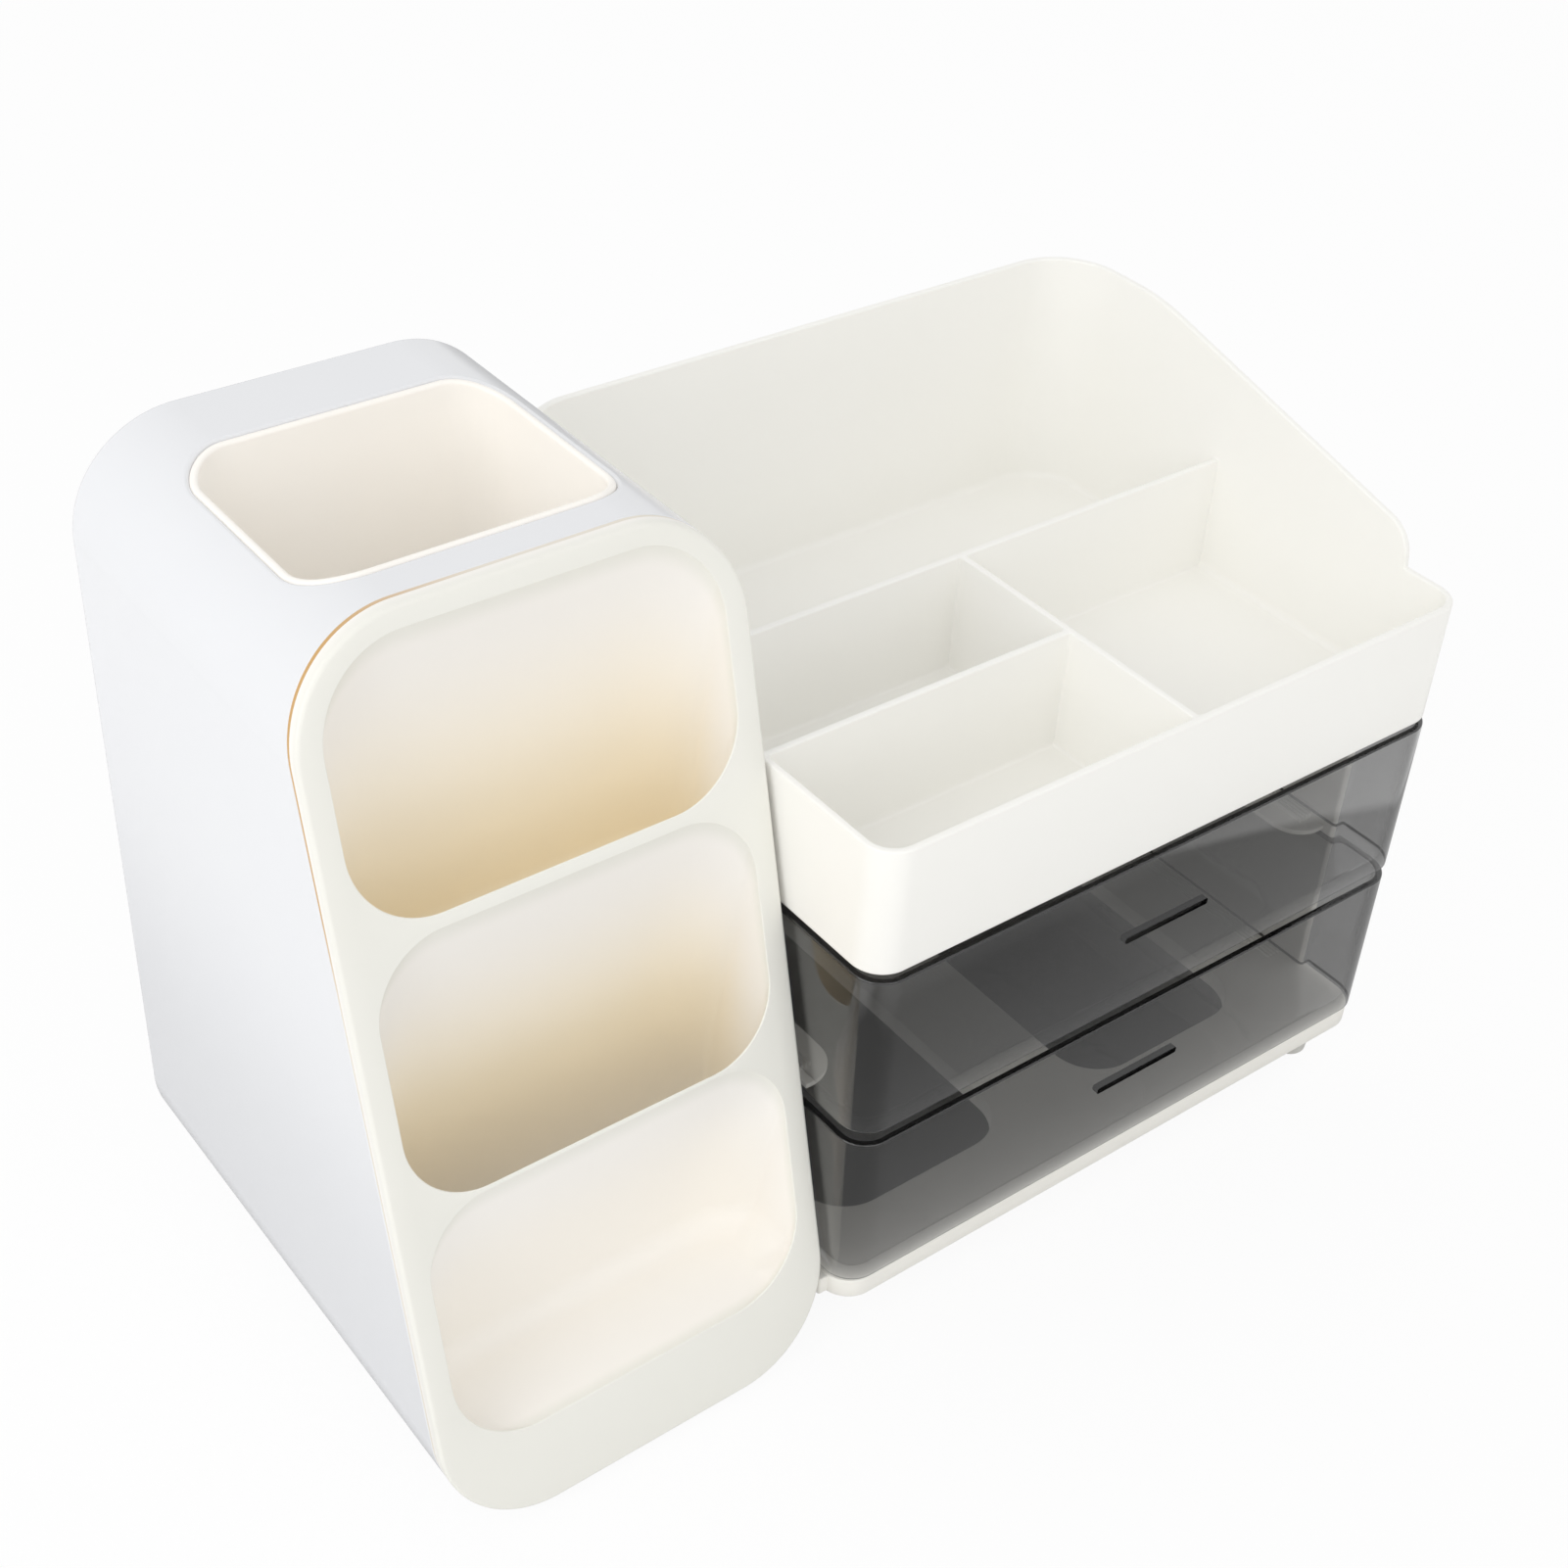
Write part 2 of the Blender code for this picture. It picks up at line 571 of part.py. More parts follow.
def make_tray(parts, cutters):
    pivot = (UNIT_WIDTH / 2, UNIT_DEPTH / 2, TRAY_Z)
    shape = ring_box((0, 0, TRAY_Z), (UNIT_WIDTH, UNIT_DEPTH, BACK_RIM_Z), unit_radii(), CORNER_STEPS)
    tray = to_object(shape, "top_tray", pivot, parts, warm_white_satin())
    floor_z = TRAY_Z + TRAY_FLOOR
    low_top = LOW_RIM_Z + CUT_OVERRUN
    over_z = BACK_RIM_Z + CUT_OVERRUN
    left = TRAY_WALL
    right = UNIT_WIDTH - TRAY_WALL
    front = TRAY_WALL
    back = UNIT_DEPTH - TRAY_WALL
    split_x = TRAY_LONG_DIVIDER_X
    short_y = TRAY_SHORT_DIVIDER_Y
    cross_back = TRAY_CROSS_DIVIDER_Y
    cross_front = cross_back - TRAY_DIVIDER
    wall_round = UNIT_FRONT_RADIUS - TRAY_WALL
    back_round = UNIT_BACK_RADIUS - TRAY_WALL
    inner = TRAY_INNER_RADIUS
    places = {
        "front left": ((left, front), (split_x - TRAY_DIVIDER, short_y - TRAY_DIVIDER), low_top,
                       (wall_round, inner, inner, inner)),
        "middle left": ((left, short_y), (split_x - TRAY_DIVIDER, cross_front), low_top,
                        (inner, inner, inner, inner)),
        "front right": ((split_x, front), (right, cross_front), over_z,
                        (inner, wall_round, inner, inner)),
        "back": ((left, cross_back), (right, back), over_z,
                 (inner, inner, back_round, back_round)),
    }
    for name, ((low_x, low_y), (high_x, high_y), top, radii) in places.items():
        hollow = ring_box((low_x, low_y, floor_z), (high_x, high_y, top), radii, CORNER_STEPS)
        round_rim(hollow, 2, floor_z, TRAY_FLOOR_ROUND, FILLET_STEPS)
        cut(tray, to_object(hollow, "compartment " + name, pivot, cutters))
    above = ring_box((left, -CUT_OVERRUN, LOW_RIM_Z), (right, cross_back + inner, over_z),
                     (0, 0, 0, 0), 1)
    cut(tray, to_object(above, "above the dividers", pivot, cutters))
    middle = UNIT_WIDTH / 2
    profiles = {
        "right profile": side_outline_prism(right_profile(), middle, UNIT_WIDTH + CUT_OVERRUN),
        "left profile": side_outline_prism(left_profile(), -CUT_OVERRUN, middle),
    }
    for name, profile in profiles.items():
        cut(tray, to_object(profile, name, pivot, cutters))


def tower_prism(inset, front_shift, back_y):
    """The tower's rounded outline drawn in by inset, from the slanted front plane to the back.

    back_y may be a function of height, for a slice parallel to the front.
    """
    radius = TOWER_RADIUS - inset
    low = (TOWER_LEFT + inset, 0, TOWER_BOTTOM + inset)
    high = (TOWER_RIGHT - inset, TOWER_DEPTH, TOWER_TOP - inset)
    shape = ring_box(low, high, [radius] * 4, TOWER_STEPS, 'Y')
    for vert in shape.verts:
        if vert.co.y < TOWER_DEPTH / 2:
            vert.co.y = slant_y(vert.co.z) + front_shift
        elif callable(back_y):
            vert.co.y = back_y(vert.co.z)
        else:
            vert.co.y = back_y
    return shape


def tower_slice(inset, near, far):
    return tower_prism(inset, near, lambda z: slant_y(z) + far)


def make_sleeve(parts, cutters):
    pivot = (TOWER_MIDDLE, TOWER_DEPTH / 2, TOWER_BOTTOM)
    front = FLANGE_THICKNESS + FLANGE_SEAM
    shape = tower_prism(0, front, TOWER_DEPTH)
    sleeve = to_object(shape, "tower_sleeve", pivot, parts, cool_white_gloss())
    hollow = tower_prism(SLEEVE_WALL, front - CUT_OVERRUN, TOWER_DEPTH - SLEEVE_WALL)
    cut(sleeve, to_object(hollow, "sleeve hollow", pivot, cutters))
    low_z = TOWER_TOP - TOWER_RADIUS
    mouth = ring_box((TOWER_LEFT + CUP_SIDE_MARGIN, CUP_FRONT_Y, low_z),
                     (TOWER_RIGHT - CUP_SIDE_MARGIN, CUP_BACK_Y, TOWER_TOP + CUT_OVERRUN),
                     [CUP_RADIUS] * 4, CORNER_STEPS)
    cut(sleeve, to_object(mouth, "sleeve mouth", pivot, cutters))
    for index, lug_front in enumerate(lug_fronts()):
        slot = ring_box((TOWER_RIGHT - TOWER_RADIUS / 2, lug_front - SEAT_GAP,
                         BASE_BOTTOM - SEAT_GAP),
                        (TOWER_RIGHT + CUT_OVERRUN, lug_front + LUG_WIDTH + SEAT_GAP,
                         BASE_TOP + SEAT_GAP), (0, 0, 0, 0), 1)
        cut(sleeve, to_object(slot, f"lug slot {index}", pivot, cutters))


def pocket_values():
    """Bottom, top, floor, backward slope, and radii of the lowest, middle and highest pocket."""
    low_bottom = TOWER_BOTTOM + POCKET_BOTTOM_MARGIN
    low_top = low_bottom + POCKET_FIELD * POCKET_LOW_SHARE
    mid_bottom = low_top + POCKET_LOW_BRIDGE
    mid_top = mid_bottom + POCKET_FIELD * POCKET_MID_SHARE
    high_bottom = mid_top + POCKET_HIGH_BRIDGE
    high_top = TOWER_TOP - POCKET_TOP_MARGIN
    return (
        ("low", low_bottom, low_top, low_bottom, POCKET_LOW_SLOPE, POCKET_LOW_BOTTOM_RADIUS,
         POCKET_LOW_TOP_RADIUS),
        ("middle", mid_bottom, mid_top, mid_bottom - POCKET_MID_DROP, POCKET_MID_SLOPE,
         POCKET_MID_RADIUS, POCKET_MID_RADIUS),
        ("high", high_bottom, high_top, high_bottom - POCKET_HIGH_DROP, POCKET_HIGH_SLOPE,
         POCKET_HIGH_BOTTOM_RADIUS, POCKET_HIGH_TOP_RADIUS),
    )


def pocket_solid(bottom, top, floor, slope, low_radius, high_radius, grow, start):
    """A pocket's outline carried down and slightly back from the slanted front to its floor.

    The walls ease off before they reach the rear cup. start is how far down the first ring
    lies; below zero it stands clear of the front.
    """
    room = CUP_FRONT_Y - POCKET_CUP_ROOM - slant_y(top)
    level = floor - grow * 2 - max(start, 0)
    low = (TOWER_LEFT + POCKET_SIDE_MARGIN - grow, 0, bottom - grow)
    high = (TOWER_RIGHT - POCKET_SIDE_MARGIN + grow, TOWER_DEPTH, top + grow)
    radii = (low_radius + grow, low_radius + grow, high_radius + grow, high_radius + grow)
    shape = ring_box(low, high, radii, POCKET_STEPS, 'Y')
    long_edges = [edge for edge in shape.edges
                  if abs(edge.verts[0].co.y - edge.verts[1].co.y) > TOWER_DEPTH / 2]
    bmesh.ops.subdivide_edges(shape, edges=long_edges, cuts=POCKET_BENDS, use_grid_fill=True)
    for vert in shape.verts:
        share = vert.co.y / TOWER_DEPTH
        drop = start + (vert.co.z - level - start) * share
        vert.co.y = slant_y(vert.co.z) + room * (1 - math.exp(-drop * slope / room))
        vert.co.z -= drop
    return shape


def make_insert(parts, cutters):
    pivot = (TOWER_MIDDLE, slant_y(TOWER_BOTTOM + TOWER_HEIGHT / 2), TOWER_BOTTOM + TOWER_HEIGHT / 2)
    shape = tower_slice(0, 0, FLANGE_THICKNESS)
    insert = to_object(shape, "tower_front_insert", pivot, parts, warm_white_satin())
    collar_inset = SLEEVE_WALL + SEAT_GAP
    near = FLANGE_THICKNESS / 2
    far = FLANGE_THICKNESS + COLLAR_DEPTH
    collar = to_object(tower_slice(collar_inset, near, far), "insert collar", pivot, cutters)
    bore = tower_slice(collar_inset + COLLAR_WALL, near - CUT_OVERRUN, far + CUT_OVERRUN)
    cut(collar, to_object(bore, "collar bore", pivot, cutters))
    add(insert, collar)
    for name, *sizes in pocket_values():
        shell = pocket_solid(*sizes, POCKET_WALL, POCKET_START)
        add(insert, to_object(shell, name + " pocket shell", pivot, cutters))
    for name, *sizes in pocket_values():
        hollow = pocket_solid(*sizes, 0, -CUT_OVERRUN)
        cut(insert, to_object(hollow, name + " pocket hollow", pivot, cutters))


def make_cup(parts, cutters):
    low_z = TOWER_TOP - CUP_DEPTH
    low = (TOWER_LEFT + CUP_SIDE_MARGIN + SEAT_GAP, CUP_FRONT_Y + SEAT_GAP, low_z)
    high = (TOWER_RIGHT - CUP_SIDE_MARGIN - SEAT_GAP, CUP_BACK_Y - SEAT_GAP, TOWER_TOP + CUT_OVERRUN)
    radius = CUP_RADIUS - SEAT_GAP
    pivot = (TOWER_MIDDLE, (CUP_FRONT_Y + CUP_BACK_Y) / 2, low_z)
    shape = ring_box(low, high, [radius] * 4, CORNER_STEPS)
    cup = to_object(shape, "tower_rear_cup", pivot, parts, cup_white())
    envelope = to_object(tower_prism(0, 0, TOWER_DEPTH), "tower envelope", pivot, cutters)
    boolean(cup, envelope, 'INTERSECT')
    floor = low_z + CUP_FLOOR
    hollow = ring_box((low[0] + CUP_WALL, low[1] + CUP_WALL, floor),
                      (high[0] - CUP_WALL, high[1] - CUP_WALL, TOWER_TOP + CUT_OVERRUN * 2),
                      [radius - CUP_WALL] * 4, CORNER_STEPS)
    round_rim(hollow, 2, floor, CUP_INNER_ROUND, FILLET_STEPS)
    cut(cup, to_object(hollow, "cup hollow", pivot, cutters))


def main():
    clear_scene()
    parts = new_collection("makeup_organizer")
    cutters = new_collection("cutters")
    make_feet(parts)
    make_base_plate(parts, cutters)
    make_casing(parts, cutters)
    make_ledges(parts, cutters)
    make_drawer("lower_drawer", LOWER_DRAWER_Z, parts, cutters)
    make_drawer("upper_drawer", UPPER_DRAWER_Z, parts, cutters)
    make_tray(parts, cutters)
    make_sleeve(parts, cutters)
    make_insert(parts, cutters)
    make_cup(parts, cutters)
    bpy.context.view_layer.update()


main()
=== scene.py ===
# Makeup organizer: a two-drawer unit with a divided tray, beside a holder tower.
# Sizes are in millimetres, laid out from the drawer unit's front left corner on the ground.
import math

import bmesh
import bpy
import numpy as np
from mathutils import Matrix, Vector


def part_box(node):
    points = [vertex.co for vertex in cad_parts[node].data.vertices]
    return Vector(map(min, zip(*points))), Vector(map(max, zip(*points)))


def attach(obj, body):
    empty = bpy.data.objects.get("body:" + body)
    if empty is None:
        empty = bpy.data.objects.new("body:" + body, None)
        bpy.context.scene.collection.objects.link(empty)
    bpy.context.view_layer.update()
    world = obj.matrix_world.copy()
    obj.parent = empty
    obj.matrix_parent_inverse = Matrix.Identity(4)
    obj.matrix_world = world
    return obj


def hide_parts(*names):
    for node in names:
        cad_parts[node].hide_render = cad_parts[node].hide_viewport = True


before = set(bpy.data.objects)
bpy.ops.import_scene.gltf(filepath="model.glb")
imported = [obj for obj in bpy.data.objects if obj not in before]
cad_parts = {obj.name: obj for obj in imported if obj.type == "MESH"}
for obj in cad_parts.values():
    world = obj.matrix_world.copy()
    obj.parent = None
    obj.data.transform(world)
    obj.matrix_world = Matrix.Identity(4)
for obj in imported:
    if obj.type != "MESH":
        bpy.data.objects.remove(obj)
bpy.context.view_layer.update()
mm = 0.001
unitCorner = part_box("top_tray")[0]
layoutShift = np.array([unitCorner[0], unitCorner[1], 0.0])
pieceCollection = bpy.data.collections.new("visual")
bpy.context.scene.collection.children.link(pieceCollection)


# Camera

cameraValues = {
    "place": (-277.6, -298.7, 493.0),
    "matrix": ((0.795397, 0.331633, -0.507310),
               (-0.603718, 0.507489, -0.614801),
               (0.053566, 0.795283, 0.603868)),
    "focalPixels": 2393.57,
    "framePixels": 1601,
    "sensor": 36.0,
}


def toFrame(points):
    return np.asarray(points, dtype=float) * mm + layoutShift


def makeCamera(values):
    data = bpy.data.cameras.new("photo camera")
    data.sensor_width = values["sensor"]
    data.sensor_fit = 'HORIZONTAL'
    data.lens = values["focalPixels"] / values["framePixels"] * values["sensor"]
    data.clip_start = 0.01
    data.clip_end = 20.0
    camera = bpy.data.objects.new("photo camera", data)
    matrix = Matrix(values["matrix"]).to_4x4()
    matrix.translation = toFrame([values["place"]])[0]
    camera.matrix_world = matrix
    bpy.context.scene.collection.objects.link(camera)
    bpy.context.scene.camera = camera


# Small tools

def fromHex(code, alpha=1.0):
    # sRGB hex to linear light.
    channels = [int(code[i:i + 2], 16) / 255 for i in (1, 3, 5)]
    linear = [c / 12.92 if c <= 0.04045 else ((c + 0.055) / 1.055) ** 2.4 for c in channels]
    return (*linear, alpha)


def addNode(material, kind, settings=None, links=None):
    # Adds a node; settings go to its properties or sockets. links are socket: source, where a
    # node stands for its first output.
    tree = material.node_tree
    node = tree.nodes.new('ShaderNode' + kind)
    for key, value in (settings or {}).items():
        if isinstance(key, str) and hasattr(node, key):
            setattr(node, key, value)
        else:
            node.inputs[key].default_value = value
    for key, source in (links or {}).items():
        tree.links.new(getattr(source, "outputs", [source])[0], node.inputs[key])
    return node


def newMaterial(name):
    material = bpy.data.materials.new(name)
    material.use_nodes = True
    material.node_tree.nodes.clear()
    return material


def addMesh(name, points, faces, material, smoothAngle=32, weld=0.0):
    # points are layout millimetres; the object sits at the origin with its place in its mesh.
    mesh = bpy.data.meshes.new(name)
    mesh.from_pydata(toFrame(points).tolist(), [], [list(map(int, f)) for f in faces])
    if weld:
        shape = bmesh.new()
        shape.from_mesh(mesh)
        bmesh.ops.remove_doubles(shape, verts=shape.verts, dist=weld * mm)
        bmesh.ops.recalc_face_normals(shape, faces=shape.faces)
        shape.to_mesh(mesh)
        shape.free()
    mesh.materials.append(material)
    mesh.shade_smooth()
    mesh.set_sharp_from_angle(angle=math.radians(smoothAngle))
    made = bpy.data.objects.new(name, mesh)
    pieceCollection.objects.link(made)
    return made


def readVectors(items, name):
    # One vector for each item of a mesh, row by row.
    values = np.empty(len(items) * 3)
    items.foreach_get(name, values)
    return values.reshape(-1, 3)


def gridFaces(rows, columns):
    # Quads over a grid of points kept row by row; the last column joins the first.
    row = np.arange(rows - 1)[:, None] * columns
    column = np.arange(columns)[None, :]
    after = (column + 1) % columns
    quads = np.stack([row + column, row + after, row + columns + after, row + columns + column], -1)
    return quads.reshape(-1, 4).tolist()


def arcSteps(count):
    # Angles over a quarter turn.
    return np.linspace(0.0, math.pi / 2, count + 1)


def roundedPath(corners, steps, extra=None):
    # A closed outline through corners (across, up, radius), each turned into a tangent arc.
    # extra adds points along the edge that leaves a corner: {corner: fractions of that edge}.
    # Gives the points and the unit normals that point to the left of travel, which is inwards
    # for an outline that runs anticlockwise.
    extra = extra or {}
    places = np.array([c[:2] for c in corners], dtype=float)
    radii = np.array([c[2] for c in corners], dtype=float)
    ahead = np.roll(places, -1, 0) - places
    ahead /= np.linalg.norm(ahead, axis=1)[:, None]
    behind = np.roll(ahead, 1, 0)
    cross = behind[:, 0] * ahead[:, 1] - behind[:, 1] * ahead[:, 0]
    turn = np.arctan2(cross, (behind * ahead).sum(1))
    tangent = radii * np.tan(np.abs(turn) / 2)
    points, normals = [], []
    for index in range(len(corners)):
        side = math.copysign(1.0, turn[index])
        left = np.array([-behind[index, 1], behind[index, 0]])
        start = places[index] - behind[index] * tangent[index]
        centre = start + left * radii[index] * side
        angle = np.linspace(0, turn[index], steps + 1)
        spoke = -left * side
        turned = np.stack([spoke[0] * np.cos(angle) - spoke[1] * np.sin(angle),
                           spoke[0] * np.sin(angle) + spoke[1] * np.cos(angle)], 1)
        points.append(centre + turned * radii[index])
        normals.append(-turned * side)
        if index in extra:
            after = (index + 1) % len(corners)
            low = places[index] + ahead[index] * tangent[index]
            high = places[after] - ahead[index] * tangent[after]
            share = np.asarray(extra[index])[:, None]
            points.append(low + (high - low) * share)
            normals.append(np.repeat([[-ahead[index, 1], ahead[index, 0]]], len(share), 0))
    return np.concatenate(points), np.concatenate(normals)


def shellStations(wall, bottom, floor, top, foot, rim, fillet, draft=0.0, steps=5):
    # (inset, height) pairs of an open box's section: under the foot, up the outside, over the
    # rounded rim, down the inside and into the floor's fillet.
    quarter = arcSteps(steps)
    parts = [
        np.stack([foot * (1 - np.sin(quarter)), bottom + foot * (1 - np.cos(quarter))], 1),
        np.stack([rim * (1 - np.cos(quarter)), top - rim * (1 - np.sin(quarter))], 1),
        np.stack([wall - rim * (1 - np.sin(quarter)), top - rim * (1 - np.cos(quarter))], 1),
        np.stack([wall + draft + fillet * (1 - np.cos(quarter)),
                  floor + fillet * (1 - np.sin(quarter))], 1),
    ]
    return np.concatenate(parts)


def stackLoops(name, loops, material, capFirst=True, capLast=True, **options):
    # Skins a stack of closed loops of points, with flat caps at the ends.
    rows, columns = len(loops), len(loops[0])
    faces = gridFaces(rows, columns)
    if capFirst:
        faces.append(list(range(columns))[::-1])
    if capLast:
        faces.append([(rows - 1) * columns + i for i in range(columns)])
    return addMesh(name, np.concatenate(loops), faces, material, **options)


def lift(flat, height):
    # Plan points to layout points at a height, which may vary from point to point.
    return np.column_stack([flat, np.broadcast_to(height, len(flat))])


def box(width, depth, radius, low=(0.0, 0.0)):
    # An anticlockwise rectangle's corners with one radius.
    x, y = low
    return [(x, y, radius), (x + width, y, radius), (x + width, y + depth, radius),
            (x, y + depth, radius)]


def unitPlan(v):
    # The drawer unit's outline: small front corners, larger back ones.
    return [(0, 0, v["frontRadius"]), (v["width"], 0, v["frontRadius"]),
            (v["width"], v["depth"], v["backRadius"]), (0, v["depth"], v["backRadius"])]


def slab(name, corners, low, high, edge, material, steps=12, turnSteps=3):
    # An outline run upwards between two heights, with rounded top and bottom edges.
    points, normals = roundedPath(corners, steps)
    quarter = arcSteps(turnSteps)
    loops = [lift(points + normals * (edge * (1 - math.sin(a))), low + edge * (1 - math.cos(a)))
             for a in quarter]
    loops += [lift(points + normals * (edge * (1 - math.cos(a))), high - edge * (1 - math.sin(a)))
              for a in quarter]
    return stackLoops(name, loops, material)


def applyModifiers(piece):
    bpy.context.view_layer.update()
    graph = bpy.context.evaluated_depsgraph_get()
    mesh = bpy.data.meshes.new_from_object(piece.evaluated_get(graph))
    old = piece.data
    piece.modifiers.clear()
    piece.data = mesh
    mesh.name = piece.name
    bpy.data.meshes.remove(old)


def joinOrCut(piece, tool, operation):
    # One Boolean with a helper that is then removed.
    modifier = piece.modifiers.new(operation.lower(), 'BOOLEAN')
    modifier.operation = operation
    modifier.solver = 'EXACT'
    modifier.object = tool
    applyModifiers(piece)
    bpy.data.objects.remove(tool)


def tube(name, path, radius, material, sides=12):
    # A closed tube: a circle carried along a closed path, square to it.
    ahead = np.roll(path, -1, 0) - np.roll(path, 1, 0)
    ahead /= np.linalg.norm(ahead, axis=1)[:, None]
    up = np.tile([0.0, 0.0, 1.0], (len(path), 1))
    across = np.cross(ahead, up)
    across /= np.linalg.norm(across, axis=1)[:, None]
    up = np.cross(across, ahead)
    angle = np.linspace(0, 2 * math.pi, sides, endpoint=False)
    ring = (path[:, None] + radius * (np.cos(angle)[None, :, None] * across[:, None]
                                      + np.sin(angle)[None, :, None] * up[:, None]))
    points = ring.reshape(-1, 3)
    faces = gridFaces(len(path) + 1, sides)
    faces = [[v % len(points) for v in f] for f in faces]
    return addMesh(name, points, faces, material, weld=0.001)


def place(piece, body, slotName, *nodes):
    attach(piece, body)
    if nodes:
        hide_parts(*nodes)


# Materials

def paintedPocketShade(material, where, colour, tint):
    # Painted shade and light: the pockets are painted warmer with depth behind the slanted front
    # (painted shade) and their walls paler than the front (painted light), as smooth ramps on the
    # distance along the front's normal.
    reach = addNode(material, 'VectorMath', {"operation": 'DOT_PRODUCT', 1: tint["normal"]},
                    {0: where.outputs["Object"]})
    depth = addNode(material, 'MapRange',
                    {"interpolation_type": 'SMOOTHSTEP', "From Min": tint["start"],
                     "From Max": tint["end"]}, {"Value": reach.outputs["Value"]})
    wall = addNode(material, 'MapRange',
                   {"interpolation_type": 'SMOOTHSTEP', "From Min": tint["wallStart"],
                    "From Max": tint["wallEnd"]}, {"Value": reach.outputs["Value"]})
    pale = addNode(material, 'Mix', {"data_type": 'RGBA', 7: fromHex(tint["paintedLitWallColour"])},
                   {0: wall, 6: colour.outputs[2]})
    height = addNode(material, 'SeparateXYZ', None, {0: where.outputs["Object"]})
    upper = addNode(material, 'MapRange',
                    {"interpolation_type": 'SMOOTHSTEP', "From Min": tint["low"],
                     "From Max": tint["high"], "To Min": tint["least"]}, {"Value": height.outputs[2]})
    much = addNode(material, 'Math', {"operation": 'MULTIPLY'}, {0: depth, 1: upper})
    return addNode(material, 'Mix', {"data_type": 'RGBA', 7: fromHex(tint["colour"])},
                   {0: much, 6: pale.outputs[2]})


def paintedHeldLight(material, paintedGlow, held):
    # Painted light as emission strength: the glow, and held more where the camera looks through the
    # smoke walls.
    ray = addNode(material, 'LightPath')
    layers = addNode(material, 'Math', {"operation": 'GREATER_THAN', 1: 0.5},
                     {0: ray.outputs["Transparent Depth"]})
    behind = addNode(material, 'Math', {"operation": 'MULTIPLY'},
                     {0: layers, 1: ray.outputs["Is Camera Ray"]})
    return addNode(material, 'MapRange', {"To Min": paintedGlow, "To Max": paintedGlow + held}, {"Value": behind})


def mouldedPlastic(name, colour, shade, roughness, values, tint=None, paintedGlow=0.0, held=0.0):
    # Injection-moulded ABS: an even, faintly cloudy colour and a satin or gloss skin with a
    # very fine flow ripple. The glow is painted light, an emission standing in for the light a
    # thin wall passes on from its other side; held is painted light as well, an emission standing
    # in for the light kept between the smoke walls, added where it is seen through them.
    material = newMaterial(name)
    where = addNode(material, 'TexCoord')
    cloud = addNode(material, 'TexNoise', {"Scale": 1000 / values["cloudMm"], "Detail": 2.0},
                    {"Vector": where.outputs["Object"]})
    base = addNode(material, 'Mix',
                   {"data_type": 'RGBA', 6: fromHex(colour), 7: fromHex(shade)}, {0: cloud})
    # tint paints warm shade and pale light into the pockets
    if tint:
        base = paintedPocketShade(material, where, base, tint)
    grain = addNode(material, 'TexNoise', {"Scale": 1000 / values["grainMm"], "Detail": 3.0},
                    {"Vector": where.outputs["Object"]})
    rough = addNode(material, 'MapRange',
                    {"To Min": roughness - values["roughSpread"],
                     "To Max": roughness + values["roughSpread"]}, {"Value": grain})
    bump = addNode(material, 'Bump', {"Strength": values["bump"], "Distance": 0.0001},
                   {"Height": grain})
    links = {"Base Color": base.outputs[2], "Roughness": rough, "Normal": bump}
    if paintedGlow or held:
        links["Emission Color"] = base.outputs[2]
    if held:
        links["Emission Strength"] = paintedHeldLight(material, paintedGlow, held)
    shader = addNode(material, 'BsdfPrincipled', {"IOR": 1.50, "Emission Strength": paintedGlow}, links)
    addNode(material, 'OutputMaterial', None, {"Surface": shader})
    return material


def collarPaintedShade(values):
    # Painted warm shade in the seam before the sleeve: brown at the tower's upper left corner,
    # fading with distance to the insert's own cream.
    material = newMaterial("shaded collar ABS")
    where = addNode(material, 'TexCoord')
    far = addNode(material, 'VectorMath', {"operation": 'DISTANCE', 1: values["middle"]},
                  {0: where.outputs["Object"]})
    fade = addNode(material, 'MapRange',
                   {"interpolation_type": 'SMOOTHSTEP', "From Min": values["near"],
                    "From Max": values["far"]}, {"Value": far.outputs["Value"]})
    mix = addNode(material, 'Mix',
                  {"data_type": 'RGBA', 6: fromHex(values["colour"]), 7: fromHex(values["fadeColour"])},
                  {0: fade})
    shader = addNode(material, 'BsdfPrincipled', {"Roughness": 0.5, "IOR": 1.50},
                     {"Base Color": mix.outputs[2]})
    addNode(material, 'OutputMaterial', None, {"Surface": shader})
    return material


